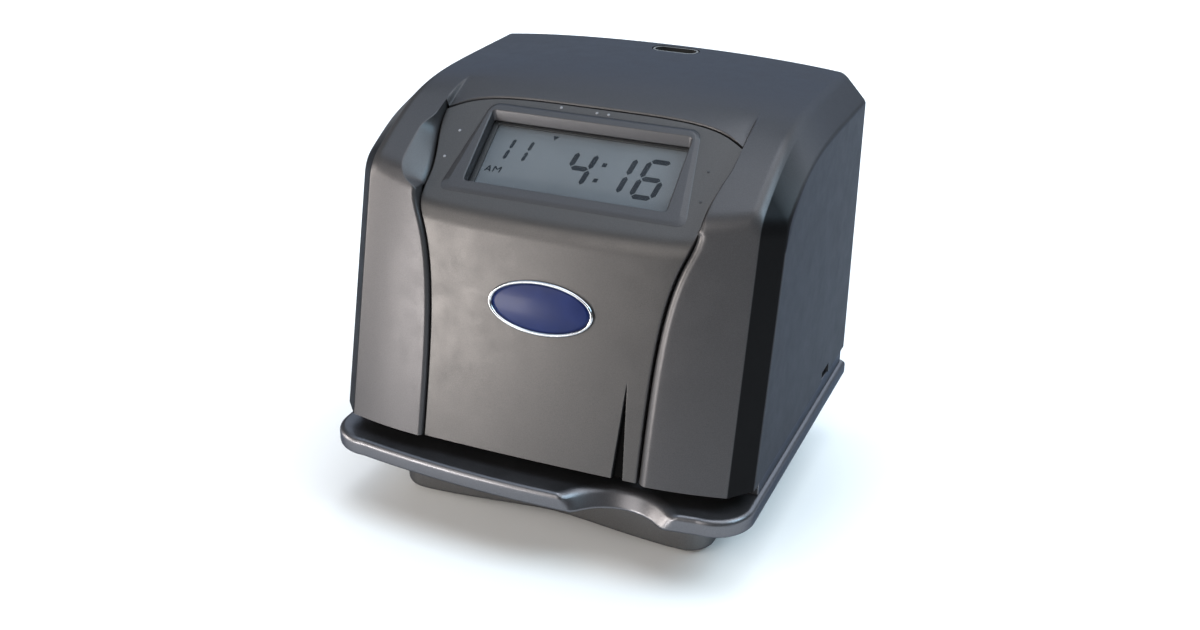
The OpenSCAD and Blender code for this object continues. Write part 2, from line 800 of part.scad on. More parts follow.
module bush(x0, x1, flange_x) {
  difference() {
    union() {
      rod_x(bush_r, x0, x1, screw_y, rail_z);
      rod_x(bush_r + bush_lip, flange_x, flange_x + bush_flange, screw_y, rail_z);
    }
    rod_x(rail_r + run_gap, x0 - 2, x1 + 2, screw_y, rail_z);
  }
}
module screw_bushes() {
  color([0.72, 0.55, 0.28]) {
    bush(bay_left - frame_t - bush_flange, bay_left, bay_left - frame_t - bush_flange);
    bush(bay_right, bay_right + frame_t + bush_flange, bay_right + frame_t);
  }
}
module lead_screw() {
  color([0.74, 0.75, 0.77])
    rod_x(rail_r, gear_x - 1, bay_right + frame_t + bush_flange, screw_y, rail_z);
}
module screw_gear() {
  color([0.90, 0.89, 0.84])
    difference() {
      translate([0, screw_y, rail_z])
        along_x(gear_x, gear_x + gear_t) rotate(mesh_angle) gear_blank(gear_teeth, gear_module);
      rod_x(rail_r + hole_slip, gear_x - 1, gear_x + gear_t + 1, screw_y, rail_z);
    }
}
module carriage_motor() {
  color([0.50, 0.51, 0.53])
    difference() {
      union() {
        rod_x(motor_r, bay_left, bay_left + motor_l, motor_y, motor_z);
        rod_x(motor_r / 2, bay_left + motor_l - eps, bay_left + motor_l + motor_cap, motor_y, motor_z);
      }
      rod_x(motor_shaft_r + run_gap, bay_left - 1, bay_left + shaft_deep + 1, motor_y, motor_z);
    }
}
module motor_pinion() {
  color([0.85, 0.78, 0.52]) {
    translate([0, motor_y, motor_z])
      along_x(gear_x - pinion_over, gear_x + gear_t + pinion_over)
        rotate(mesh_angle + 180 + 180 / pinion_teeth) gear_blank(pinion_teeth, gear_module);
    rod_x(motor_shaft_r, gear_x, bay_left + shaft_deep, motor_y, motor_z);
  }
}

// Carriage and print head
carriage_below = 10;
carriage_above = 9;
carriage_low = rail_z - carriage_below;
carriage_high = rail_z + carriage_above;
carriage_wall = 2.2;
carriage_front = guide_y - rail_r - carriage_wall;
carriage_back = screw_y + rail_r + carriage_wall;
head_w = 16;
head_d = 14;
head_h = 12;
head_low = carriage_low - head_h;
nose_sunk = 1.4;
nose_z = case_z - nose_sunk;
nose_rim = 1;
fin_deep = 1.5;
nose_r = 2.5;
fin_pitch = 3;
fin_gap = 1.2;
module carriage() {
  color([0.10, 0.10, 0.11])
    difference() {
      block([print_x - carriage_w / 2, carriage_front, carriage_low],
        [print_x + carriage_w / 2, carriage_back, carriage_high]);
      rod_x(rail_r + run_gap, print_x - carriage_w, print_x + carriage_w, guide_y, rail_z);
      rod_x(rail_r + run_gap, print_x - carriage_w, print_x + carriage_w, screw_y, rail_z);
    }
}
module print_head() {
  color([0.35, 0.36, 0.38])
    difference() {
      union() {
        block([print_x - head_w / 2, print_y - head_d / 2, head_low],
          [print_x + head_w / 2, print_y + head_d / 2, carriage_low]);
        translate([print_x, print_y, nose_z])
          cylinder(r1 = nose_r, r2 = head_d / 2 - nose_rim, h = head_low - nose_z + eps);
      }
      for (z = [head_low + fin_pitch:fin_pitch:carriage_low - fin_gap])
        difference() {
          block([print_x - head_w, print_y - head_d, z - fin_gap], [print_x + head_w, print_y + head_d, z]);
          block([print_x - head_w / 2 + fin_deep, print_y - head_d / 2 + fin_deep, z - 2 * fin_gap],
            [print_x + head_w / 2 - fin_deep, print_y + head_d / 2 - fin_deep, z + fin_gap]);
        }
    }
}

// Ribbon cartridge: a flat box on the shelf with two arms that stretch the ribbon under the head
cart_z = shelf_z + shelf_t;
cart_h = 12;
cart_top = cart_z + cart_h;
cart_over = 14;
cart_rear = throat_back + cart_over;
arm_sunk = 2;
arm_h = 8;
arm_fore = 8;
arm_low = case_z - arm_sunk;
arm_top = cart_z + arm_h;
arm_front = print_y - arm_fore;
ribbon_t = 0.3;
ribbon_w = 12;
knob_off = 25;
knob_room = 5;
knob_lift = 0.3;
knob_x = print_x + knob_off;
knob_y = cart_rear - knob_r - knob_room;
knob_h = 6;
stem_r = 2;
stem_l = 9;
module ribbon_cartridge() {
  color([0.09, 0.09, 0.10])
    difference() {
      union() {
        block([print_x - cart_half, cart_front, cart_z], [print_x + cart_half, cart_rear, cart_top]);
        for (side = [-1, 1]) {
          x0 = print_x + (side < 0 ? -cart_half : cart_half - arm_w);
          block([x0, arm_front, arm_low], [x0 + arm_w, cart_front - slip, arm_top]);
          block([x0, arm_front, cart_z], [x0 + arm_w, cart_front + 1, arm_top]);
        }
      }
      translate([knob_x, knob_y, cart_top - stem_l - slip]) cylinder(r = stem_r + run_gap, h = stem_l + 2);
    }
}
module ribbon() {
  color([0.16, 0.10, 0.30])
    block([print_x - cart_half + arm_w, print_y - ribbon_w / 2, arm_low],
      [print_x + cart_half - arm_w, print_y + ribbon_w / 2, arm_low + ribbon_t]);
}
knob_flutes = 10;
flute_r = 1;
module ribbon_knob() {
  color([0.80, 0.78, 0.72])
    translate([knob_x, knob_y, 0]) {
      difference() {
        translate([0, 0, cart_top + knob_lift]) cylinder(r = knob_r, h = knob_h);
        for (i = [0:knob_flutes - 1])
          rotate(360 * i / knob_flutes) translate([knob_r + flute_r / 3, 0, cart_top])
            cylinder(r = flute_r, h = knob_h + 1);
      }
      translate([0, 0, cart_top - stem_l]) cylinder(r = stem_r, h = stem_l + knob_lift + eps);
    }
}

// Trigger: a switch on the left frame and a lever that the paper pushes back
switch_w = 10;
switch_fore = 4;
switch_y = throat_back - switch_fore;
switch_l = 16;
switch_lift = 1;
switch_low = arm_z + switch_lift;
switch_h = 12;
pivot_in = 3.5;
pivot_up = 4;
pivot_y = switch_y + pivot_in;
pivot_z = switch_low + pivot_up;
pivot_r = 1.5;
pivot_end = 1;
lever_t = 3;
lever_half = 2.5;
lever_eye = 3;
lever_gap = 0.3;
lever_lift = 1;
lever_tip = table_z + lever_lift;
switch_x = bay_left - frame_t - switch_w;
lever_x = switch_x - lever_gap - lever_t;
module trigger_switch() {
  color([0.70, 0.12, 0.10])
    union() {
      block([switch_x, switch_y, switch_low],
        [switch_x + switch_w, switch_y + switch_l, switch_low + switch_h]);
      rod_x(pivot_r, lever_x - pivot_end, switch_x + eps, pivot_y, pivot_z);
    }
}
module trigger_lever() {
  color([0.85, 0.85, 0.82])
    difference() {
      union() {
        block([lever_x, pivot_y - lever_half, lever_tip], [lever_x + lever_t, pivot_y + lever_half, pivot_z]);
        rod_x(lever_eye, lever_x, lever_x + lever_t, pivot_y, pivot_z);
      }
      rod_x(pivot_r + run_gap, lever_x - 1, lever_x + lever_t + 1, pivot_y, pivot_z);
    }
}

// Boards on the bridge
post_h = 7;
board_z = bridge_z + post_h;
board_inset = 4;
board_aft = 40;
main_left = bridge_left + board_inset;
main_right = bay_right - board_inset;
main_front = bridge_front + board_aft;
main_back = bridge_back - board_inset;
post_r = 3;
post_in = 5;
module board_standoffs() {
  color([0.80, 0.80, 0.82])
    for (x = [main_left + post_in, main_right - post_in], y = [main_front + post_in, main_back - post_in])
      translate([x, y, bridge_z]) cylinder(r = post_r, h = board_z - bridge_z);
}
module main_board() {
  color([0.08, 0.30, 0.16])
    block([main_left, main_front, board_z], [main_right, main_back, board_z + board_t]);
}
parts_z = board_z + board_t;
cap_r = 5;
cap_h = 18;
cap_pitch = 16;
cap_in = 8;
chip_w = 24;
chip_d = 12;
chip_h = 3;
chip_in = 10;
chip_pitch = 36;
chip_fore = 3;
relay = [18, 16, 10];
relay_from = 44;
relay_in = 8;
module board_parts() {
  color([0.10, 0.10, 0.11]) {
    for (i = [1:3])
      translate([main_right - cap_pitch * i, main_back - cap_in, parts_z]) cylinder(r = cap_r, h = cap_h);
    for (i = [0:1])
      translate([main_right - chip_in - chip_w - chip_pitch * i, main_front + chip_fore, parts_z])
        cube([chip_w, chip_d, chip_h]);
    translate([main_left + relay_from, main_back - relay_in - relay[1], parts_z]) cube(relay);
  }
}
button_pitch = 13;
button_side = 14;
button_room = 1;
button_base = 7;
cell_r = 7;
cell_l = 40;
cell_in = 2;
cell_flat = 0.4;
button_x = main_left + button_side;
button_y = main_back - cell_in - 2 * cell_r - button_room - button_base / 2;
button_base_h = 4;
button_r = 3;
button_h = 5;
button_travel = 0.8;
button_stem = 1.4;
button_stem_l = 3;
button_lift = button_travel + 0.2;
module button_bases() {
  color([0.14, 0.14, 0.15])
    for (i = [0:2])
      translate([button_x + i * button_pitch, button_y, parts_z])
        difference() {
          translate([-button_base / 2, -button_base / 2, 0])
            cube([button_base, button_base, button_base_h]);
          translate([0, 0, 1]) cylinder(r = button_stem + run_gap, h = button_base_h);
        }
}
module set_button(i) {
  translate([button_x + i * button_pitch, button_y, parts_z + button_base_h]) {
    translate([0, 0, button_lift]) cylinder(r = button_r, h = button_h);
    translate([0, 0, button_lift - button_stem_l]) cylinder(r = button_stem, h = button_stem_l + eps);
  }
}
module set_button_left() {
  color([0.80, 0.80, 0.78]) set_button(0);
}
module set_button_middle() {
  color([0.80, 0.80, 0.78]) set_button(1);
}
module set_button_right() {
  color([0.80, 0.80, 0.78]) set_button(2);
}
module backup_battery() {
  color([0.20, 0.42, 0.30])
    translate([main_left + cell_in, main_back - cell_r - cell_in, parts_z - cell_flat])
      difference() {
        translate([0, 0, cell_r]) rotate([0, 90, 0]) cylinder(r = cell_r, h = cell_l);
        block([-1, -cell_r, -1], [cell_l + 1, cell_r, cell_flat]);
      }
}

// Display stack on its bracket
bracket_t = 3;
frame_sunk = 0.3;
bracket_dx = 38.5;
board_n = frame_n - board_t;
board_l = glass_l + 2 * glass_rim + 2 * board_rim;
bracket_in = 2;
bracket_d = 28;
bracket_fore = bridge_front + bracket_in;
bracket_aft = bracket_fore + bracket_d;
bracket_span = 15;
module display_glass() {
  color([0.52, 0.57, 0.52])
    face_plate(glass_w, glass_l, glass_n - glass_t, glass_n);
}
module display_frame() {
  color([0.20, 0.20, 0.22])
    difference() {
      face_plate(glass_w + 2 * glass_rim, glass_l + 2 * glass_rim, frame_n, glass_n - frame_sunk);
      face_plate(glass_w + 2 * hole_slip, glass_l + 2 * hole_slip, glass_n - glass_t, cut_over);
    }
}
module display_board() {
  color([0.08, 0.30, 0.16])
    face_plate(glass_w + 2 * glass_rim + 2 * board_rim, board_l, board_n, frame_n);
}
module display_bracket() {
  color([0.66, 0.67, 0.70])
    for (x = [-bracket_dx, bracket_dx])
      along_x(x - bracket_t / 2, x + bracket_t / 2)
        polygon([[bracket_fore, bridge_z], [bracket_aft, bridge_z],
          face_point(glass_u + bracket_span, board_n), face_point(glass_u - bracket_span, board_n)]);
}

rubber_feet();
pedestal();
base_tray();
platen();
back_plate();
frame_left();
frame_right();
cartridge_shelf();
top_bridge();
guide_shaft();
screw_bushes();
carriage_motor();
ribbon_cartridge();
ribbon();
trigger_switch();
main_board();
board_standoffs();
board_parts();
button_bases();
backup_battery();
power_inlet();
display_bracket();
display_board();
display_frame();
display_glass();
lock_keeper();
frame_screws();
plate_screws();
card_stop();
trigger_lever();
lead_screw();
screw_gear();
motor_pinion();
carriage();
print_head();
ribbon_knob();
set_button_left();
set_button_middle();
set_button_right();
case_cover();
front_fascia();
display_bezel();
display_window();
badge_rim();
badge_plate();
lock_cup();
lock_barrel();
lock_cam();
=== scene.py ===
import json
import math

import bmesh
import bpy
import numpy as np
from mathutils import Matrix, Vector


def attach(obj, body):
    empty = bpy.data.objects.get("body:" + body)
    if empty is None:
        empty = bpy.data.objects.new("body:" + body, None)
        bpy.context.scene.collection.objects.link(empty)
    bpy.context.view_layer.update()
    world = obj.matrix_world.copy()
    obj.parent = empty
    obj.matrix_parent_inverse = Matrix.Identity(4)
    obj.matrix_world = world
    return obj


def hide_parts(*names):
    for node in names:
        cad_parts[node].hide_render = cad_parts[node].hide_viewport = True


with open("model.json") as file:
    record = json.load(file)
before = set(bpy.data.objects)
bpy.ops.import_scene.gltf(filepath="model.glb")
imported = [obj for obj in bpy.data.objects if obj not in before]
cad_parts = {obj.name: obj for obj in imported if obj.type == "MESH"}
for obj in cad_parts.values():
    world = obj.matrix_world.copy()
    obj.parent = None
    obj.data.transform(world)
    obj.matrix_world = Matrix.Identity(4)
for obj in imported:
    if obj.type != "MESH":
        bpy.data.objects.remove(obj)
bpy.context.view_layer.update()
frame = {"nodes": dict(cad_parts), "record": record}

mm = 0.001
mergeWithin = 0.002  # points closer than this are one
scene = bpy.context.scene
print("frame loaded:", len(frame["nodes"]), "solids")


# the case's skin: sizes in millimetres that more than one piece uses

case = {
    "halfWidth": 96.0, "frontY": -77.0, "backY": 86.0, "lowZ": 44.0, "topZ": 186.0, "wall": 3.0, "seam": 0.6,
    "lean": math.radians(13.5), "foldZ": 140.0, "foldRound": 6.0,  # leaning front, up to the fold
    "slope": math.radians(36.3), "faceInset": 2.0,  # display face above the fold
    "shoulderR": 172.0, "shoulderLift": 0.5, "apexY": 54.0, "crownR": 675.0, "roofSoft": 7.0,  # roof
    "bevelWidth": 11.0, "bevelDrop": 10.5, "bevelSoft": 2.2,  # upper side edges
    "bowFlat": 48.0, "bowR": 1500.0, "pillarR": 176.0,  # how the front falls back from its middle
    "cornerRun": 8.5, "cornerDepth": 7.5, "cornerSoft": 0.55,  # chamfered front corners
    "panelHalf": 49.4, "flare": 11.5, "flareLength": 22.0, "flareCap": 60.0,  # seam beside the panel and the fold
    "faceHalf": 62.3, "displayHalf": 68.4, "widenFrom": 150.0, "widenLength": 20.0, "seamSoft": 3.0,  # and above it
    "seamGuess": 60.0,  # where the search for the seam starts
    "mark": (41.0, 2.5, 41.0, 1.8),  # wedge mark: middle, half width, height, depth
}
tanLean, sinLean, cosLean = math.tan(case["lean"]), math.sin(case["lean"]), math.cos(case["lean"])
sinSlope, cosSlope = math.sin(case["slope"]), math.cos(case["slope"])
faceY = case["frontY"] + (case["foldZ"] - case["lowZ"]) * tanLean + case["faceInset"]


def frontAt(z):
    # depth of the leaning front at a height: a straight line
    return case["frontY"] + (z - case["lowZ"]) * tanLean


# mesh helpers: points are in millimetres, in the frame of the solids

def quads(rows, cols, loopRows=False, loopCols=False):
    # four-sided faces between neighbouring rows and columns of a grid of points
    i, j = np.meshgrid(np.arange(rows if loopRows else rows - 1),
                       np.arange(cols if loopCols else cols - 1), indexing="ij")
    iNext, jNext = (i + 1) % rows, (j + 1) % cols
    return np.stack([i * cols + j, i * cols + jNext, iNext * cols + jNext, iNext * cols + j], -1).reshape(-1, 4)


def patch(grid, flip=False, keep=None, loopRows=False, loopCols=False):
    # a grid of points and its faces; keep drops faces, flip turns them over
    faces = quads(grid.shape[0], grid.shape[1], loopRows, loopCols)
    if keep is not None:
        faces = faces[keep.reshape(-1)]
    return grid.reshape(-1, 3), faces[:, ::-1] if flip else faces


def makeMesh(name, patches, outward=False):
    # one piece from several patches, with the points that they share merged
    faces, count = [], 0
    for points, corners in patches:
        faces += (np.asarray(corners) + count).tolist()
        count += len(points)
    mesh = bpy.data.meshes.new(name)
    mesh.from_pydata((np.concatenate([points for points, _ in patches]) * mm).tolist(), [], faces)
    work = bmesh.new()
    work.from_mesh(mesh)
    bmesh.ops.remove_doubles(work, verts=work.verts, dist=mergeWithin * mm)
    bmesh.ops.dissolve_degenerate(work, edges=work.edges, dist=mergeWithin * mm)
    if outward:
        bmesh.ops.recalc_face_normals(work, faces=work.faces)
    work.to_mesh(mesh)
    work.free()
    mesh.shade_smooth()
    piece = bpy.data.objects.new(name, mesh)
    scene.collection.objects.link(piece)
    return piece


def bake(piece):
    # settles the modifiers into the mesh
    graph = bpy.context.evaluated_depsgraph_get()
    old = piece.data
    piece.data = bpy.data.meshes.new_from_object(piece.evaluated_get(graph))
    piece.modifiers.clear()
    bpy.data.meshes.remove(old)


def meshPoints(piece):
    points = np.empty(len(piece.data.vertices) * 3)
    piece.data.vertices.foreach_get("co", points)
    return points.reshape(-1, 3) / mm


def thicken(piece, wall, lowest, shares=None, least=0.08):
    # gives a skin its wall, trimmed level at its lower edge; shares are parts of the full wall, point by point
    solid = piece.modifiers.new("wall", "SOLIDIFY")
    solid.thickness, solid.offset = wall * mm, -1.0
    if shares is not None:
        group = piece.vertex_groups.new(name="wallShare")
        for share in np.unique(shares):
            group.add(np.flatnonzero(shares == share).tolist(), float(share), "REPLACE")
        solid.vertex_group, solid.thickness_vertex_group = group.name, least
    bake(piece)
    points = meshPoints(piece)
    points[:, 2] = np.maximum(points[:, 2], lowest)
    piece.data.vertices.foreach_set("co", (points * mm).reshape(-1))


def cut(piece, patches):
    # takes a closed cutter away from the piece
    cutter = makeMesh("cutter", patches, outward=True)
    boolean = piece.modifiers.new("cut", "BOOLEAN")
    boolean.object, boolean.operation, boolean.solver = cutter, "DIFFERENCE", "EXACT"
    bpy.context.view_layer.update()
    bake(piece)
    old = cutter.data
    bpy.data.objects.remove(cutter)
    bpy.data.meshes.remove(old)


def weighNormals(piece):
    # keeps the broad faces flat in the shading
    weigh = piece.modifiers.new("normals", "WEIGHTED_NORMAL")
    weigh.weight, weigh.keep_sharp = 60, False


def softEdges(piece, width, angle=50.0):
    # small rounded edges where faces meet at more than the angle
    rounding = piece.modifiers.new("edges", "BEVEL")
    rounding.width, rounding.segments, rounding.limit_method = width * mm, 2, "ANGLE"
    rounding.angle_limit, rounding.miter_outer = math.radians(angle), "MITER_ARC"
    weighNormals(piece)
    piece.data.shade_smooth()


def crispEdges(piece, angle):
    piece.data.set_sharp_from_angle(angle=math.radians(angle))


def boxPatch(low, high):
    # six faces of a box between two corners
    x, y, z = [np.array([low[k], high[k]], float) for k in range(3)]
    points = np.stack(np.meshgrid(x, y, z, indexing="ij"), -1).reshape(-1, 3)
    return points, [[0, 1, 3, 2], [4, 6, 7, 5], [0, 4, 5, 1], [2, 3, 7, 6], [0, 2, 6, 4], [1, 5, 7, 3]]


def capFan(ring, flip=False):
    # one flat face over a closed ring of points
    order = list(range(len(ring)))
    return ring, [order[::-1] if flip else order]


def ringStack(rings, caps=False, closed=False):
    # surface over closed rings that all have as many points; caps close the first and the last
    patches = [patch(np.stack(rings), loopCols=True, loopRows=closed)]
    if caps:
        patches += [capFan(rings[0], True), capFan(rings[-1])]
    return patches


def atHeight(loop, z):
    # a flat path as points at one height
    return np.concatenate([loop, np.full((len(loop), 1), z)], 1)


def runs(*counts):
    # parameter values from 0 to 1, from 1 to 2 and so on, each stretch with its own number of points
    return np.concatenate([np.linspace(k, k + 1, count)[min(k, 1):] for k, count in enumerate(counts)])


def unit(rows):
    return rows / np.maximum(np.linalg.norm(rows, axis=1, keepdims=True), 1e-9)


def turnOver(t, start, corner, end):
    # a rounded corner: the parabola from start to end whose tangents meet at corner
    return (1 - t) ** 2 * start + 2 * t * (1 - t) * corner + t * t * end


def roundedLoop(corners, radius, turns=8):
    # closed path round a convex outline, with a parabola at each corner
    corners = np.asarray(corners, float)
    start = corners + unit(np.roll(corners, 1, 0) - corners) * radius
    end = corners + unit(np.roll(corners, -1, 0) - corners) * radius
    t = np.linspace(0, 1, turns)[None, :, None]
    return turnOver(t, start[:, None], corners[:, None], end[:, None]).reshape(-1, 2)


def roundedBox(x0, x1, a, b, radius):
    return roundedLoop([(x0, a), (x1, a), (x1, b), (x0, b)], radius)


def settle(piece, body, slotName, *nodes, finish=None):
    # a finished piece's body, slot, replaced solids and finish
    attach(piece, body)
    if nodes:
        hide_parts(*nodes)
    piece.data.materials.clear()
    piece.data.materials.append(finish or finishes[slotName])


# finishes: a wrapped socket takes part in plain arithmetic, and each sum or product adds its node

class Wire:
    def __init__(self, tree, socket):
        self.tree, self.socket = tree, socket

    def add(self, kind, settings=None, sockets=None, out=0):
        node = self.tree.nodes.new(kind)
        for key, value in (settings or {}).items():
            setattr(node, key, value)
        for key, value in (sockets or {}).items():
            join(node.inputs[key], value)
        return Wire(self.tree, node.outputs[out])

    def maths(self, operation, first, second):
        return self.add("ShaderNodeMath", {"operation": operation}, {0: first, 1: second})

    def __add__(self, other):
        return self.maths("ADD", self, other)

    def __radd__(self, other):
        return self.maths("ADD", other, self)

    def __sub__(self, other):
        return self.maths("SUBTRACT", self, other)

    def __rsub__(self, other):
        return self.maths("SUBTRACT", other, self)

    def __mul__(self, other):
        return self.maths("MULTIPLY", self, other)

    def __rmul__(self, other):
        return self.maths("MULTIPLY", other, self)


def join(target, value):
    # a wire is linked to the socket, a plain value is set on it
    if isinstance(value, Wire):
        value.tree.links.new(value.socket, target)
    else:
        target.default_value = value


def startFinish(name):
    # a new material, its shader node and a wire at the object coordinates
    material = bpy.data.materials.new(name)
    material.use_nodes = True
    tree = material.node_tree
    return material, tree.nodes["Principled BSDF"], Wire(tree, None).add("ShaderNodeTexCoord", out="Object")


shaderSockets = {"colour": "Base Color", "rough": "Roughness", "metal": "Metallic", "normal": "Normal",
                 "coat": "Coat Weight", "coatRough": "Coat Roughness", "alpha": "Alpha",
                 "mirror": "Specular IOR Level", "mirrorTint": "Specular Tint"}


def plug(shader, **values):
    for key, value in values.items():
        join(shader.inputs[shaderSockets[key]], value)


def noise(place, scale, detail=2.0, rough=0.5):
    return place.add("ShaderNodeTexNoise", {}, {"Vector": place, "Scale": scale, "Detail": detail, "Roughness": rough})


def spread(value, low, high):
    # stretches a value that lies about 0.5 to a range of numbers
    return value.add("ShaderNodeMapRange", {}, {"Value": value, "From Min": 0.3, "From Max": 0.7,
                                                "To Min": low, "To Max": high})


def between(value, zero, one):
    # 0 at the first number, 1 at the second, straight between them
    return value.add("ShaderNodeMapRange", {}, {"Value": value, "From Min": zero, "From Max": one})


def parts(place):
    return [place.add("ShaderNodeSeparateXYZ", {}, {0: place}, out=k) for k in range(3)]


def shade(colour, gain):
    return (colour[0] * gain, colour[1] * gain, colour[2] * gain, 1.0)


def blendColours(factor, first, second):
    return factor.add("ShaderNodeMix", {"data_type": "RGBA"}, {"Factor": factor, 6: first, 7: second}, out=2)


def mottled(cloud, colour, dark, light):
    # the colour, wandering between a darker and a lighter shade
    return blendColours(spread(cloud, 0.0, 1.0), shade(colour, dark), shade(colour, light))


def bumpFrom(height, distance):
    return height.add("ShaderNodeBump", {}, {"Height": height, "Distance": distance, "Strength": 1.0})


def mouldedFinish(name, colour, rough, grain=1800.0, mottle=0.10):
    # moulded plastic: a fine spark-eroded grain, faint cloudy flow and a gloss that wanders a little
    material, shader, place = startFinish(name)
    rub = noise(place, 90.0, 4.0, 0.65)
    plug(shader, colour=mottled(noise(place, 22.0, 3.0), colour, 1.0 - mottle, 1.0 + mottle),
         rough=spread(rub, rough - 0.04, rough + 0.05), normal=bumpFrom(noise(place, grain, 2.0, 0.6), 0.00002))
    return material


# painted shade: sizes for a dark band painted on the chamfered front corners, standing in for a dark reflection there,
# from and to distances off the middle and behind the front; and the soft edge of the painted shade in the wedge mark
paintedShadeSizes = {"cornerShadeSide": (87.3, 87.7), "cornerShadeDeep": (16.8, 16.0), "cornerShadeRise": 0.9, "cornerShadeGain": 0.16,
         "shadedMarkEdge": (-0.05, 0.25), "shadedMarkGain": 0.05}


def satinFinish(name, colour, metal=0.6, paintedCornerShade=False, paintedMarkShade=False):
    # metallic-filled plastic: fine bright flakes in a satin grey; one flag paints shade on the front corners, a dark
    # band that stands in for a dark reflection, and the other paints shade into the bottom of the wedge mark
    material, shader, place = startFinish(name)
    speck = noise(place, 3100.0, 1.0)
    tint = blendColours(spread(speck, 0.0, 0.25), shade(colour, 1.0), shade(colour, 1.9))
    # painted shade: the chamfered front corners darkened to stand in for a dark reflection, the band reaching further
    # back above the fold
    if paintedCornerShade:
        x, y, z = parts(place)
        behind = y - z * tanLean - frontAt(0.0) * mm
        lift = z - case["foldZ"] * mm
        lift = lift.maths("MAXIMUM", lift, 0.0)
        onSide = between(x.maths("ABSOLUTE", x, 0.0), *[edge * mm for edge in paintedShadeSizes["cornerShadeSide"]])
        deepest, deep = paintedShadeSizes["cornerShadeDeep"]
        onFront = between(behind, lift * paintedShadeSizes["cornerShadeRise"] + deepest * mm, deep * mm)
        tint = blendColours(onSide * onFront, tint, shade(colour, paintedShadeSizes["cornerShadeGain"]))
    # painted shade: the groove of the wedge mark darkened to stand in for the shade that falls inside it
    if paintedMarkShade:
        x, y, z = parts(place)
        middle, half, tall, _ = case["mark"]
        across = x - middle * mm
        narrowing = half / tall / cosLean
        room = (half + narrowing * case["lowZ"]) * mm - z * narrowing - across.maths("ABSOLUTE", across, 0.0)
        shadeInMark = between(room, *[edge * mm for edge in paintedShadeSizes["shadedMarkEdge"]])
        tint = blendColours(shadeInMark, tint, shade(colour, paintedShadeSizes["shadedMarkGain"]))
    plug(shader, colour=tint, metal=metal, rough=spread(noise(place, 90.0, 4.0, 0.65), 0.30, 0.38),
         normal=bumpFrom(noise(place, 1800.0, 2.0, 0.6), 0.00002), mirror=0.01, mirrorTint=(0.26, 0.29, 0.34, 1.0))
    return material


def metalFinish(name, colour, rough, stretch=(1.0, 1.0, 1.0), scale=600.0, depth=0.000006):
    # plated or turned metal: streaks along one direction, with soft staining
    material, shader, place = startFinish(name)
    streak = noise(place.add("ShaderNodeMapping", {}, {"Vector": place, "Scale": stretch}), scale, 3.0, 0.6)
    cloud = noise(place, 35.0, 4.0, 0.6)
    plug(shader, colour=mottled(cloud, colour, 0.88, 1.0), metal=1.0, normal=bumpFrom(streak, depth),
         rough=spread(streak * 0.6 + cloud * 0.4, rough - 0.07, rough + 0.10))
    return material


def rubberFinish(name, colour):
    # dull rubber with a little dust
    material, shader, place = startFinish(name)
    dust = noise(place, 120.0, 4.0, 0.6)
    plug(shader, colour=mottled(dust, colour, 0.8, 1.5), rough=spread(dust, 0.72, 0.9),
         normal=bumpFrom(noise(place, 2400.0), 0.00004))
    return material


def boardFinish(name, colour):
    # green solder resist over copper tracks on a square pitch, seen as a paler web
    material, shader, place = startFinish(name)
    track = place.add("ShaderNodeTexBrick", {"offset": 0.5}, {
        "Vector": place, "Color1": shade(colour, 0.8), "Color2": shade(colour, 1.0), "Mortar": shade(colour, 1.7),
        "Scale": 130.0, "Mortar Size": 0.035, "Brick Width": 1.6, "Row Height": 0.5})
    cloud = noise(place, 200.0)
    plug(shader, colour=track, rough=spread(cloud, 0.28, 0.42), normal=bumpFrom(cloud, 0.00001))
    return material


def clothFinish(name, colour):
    # inked woven ribbon: two crossed waves
    material, shader, place = startFinish(name)
    warp, weft = [place.add("ShaderNodeTexWave", {"bands_direction": axis}, {"Vector": place, "Scale": 900.0})
                  for axis in "XZ"]
    weave = warp * 0.5 + weft * 0.5
    plug(shader, colour=mottled(weave, colour, 0.6, 1.4), rough=0.85, normal=bumpFrom(weave, 0.00004))
    return material


def windowFinish(name):
    # clear polished sheet: mostly see-through, with a faint haze of handling marks
    material, shader, place = startFinish(name)
    smear = noise(place, 60.0, 4.0, 0.7)
    plug(shader, colour=(0.5, 0.53, 0.53, 1.0), rough=spread(smear, 0.03, 0.10), alpha=spread(smear, 0.01, 0.03),
         mirror=0.25)
    return material


def cellFinish(name, colour):
    # liquid-crystal cell: grey-green reflector with a fine sparkle and a slow drift of tone
    material, shader, place = startFinish(name)
    sparkle = noise(place, 2600.0, 1.0)
    plug(shader, colour=mottled(noise(place, 18.0) * 0.7 + sparkle * 0.3, colour, 0.93, 1.07),
         rough=spread(sparkle, 0.38, 0.5), normal=bumpFrom(sparkle, 0.000004), mirror=0.04)
    return material


def enamelFinish(name, colour):
    # glossy coloured enamel with faint depth clouds under a clear coat
    material, shader, place = startFinish(name)
    cloud = noise(place, 60.0, 3.0)
    plug(shader, colour=mottled(cloud, colour, 0.85, 1.2), rough=spread(cloud, 0.28, 0.34), coat=0.06, coatRough=0.12,
         normal=bumpFrom(noise(place, 420.0, 1.0), 0.000008), mirror=0.18)
    return material


def powderFinish(name, colour, rough):
    # powder coat: an even orange peel with small pits
    material, shader, place = startFinish(name)
    peel = place.add("ShaderNodeTexVoronoi", {"feature": "SMOOTH_F1"}, {"Vector": place, "Scale": 1300.0})
    plug(shader, colour=mottled(noise(place, 30.0, 3.0), colour, 0.88, 1.1),
         rough=spread(peel, rough - 0.05, rough + 0.08), normal=bumpFrom(peel, 0.00008))
    return material


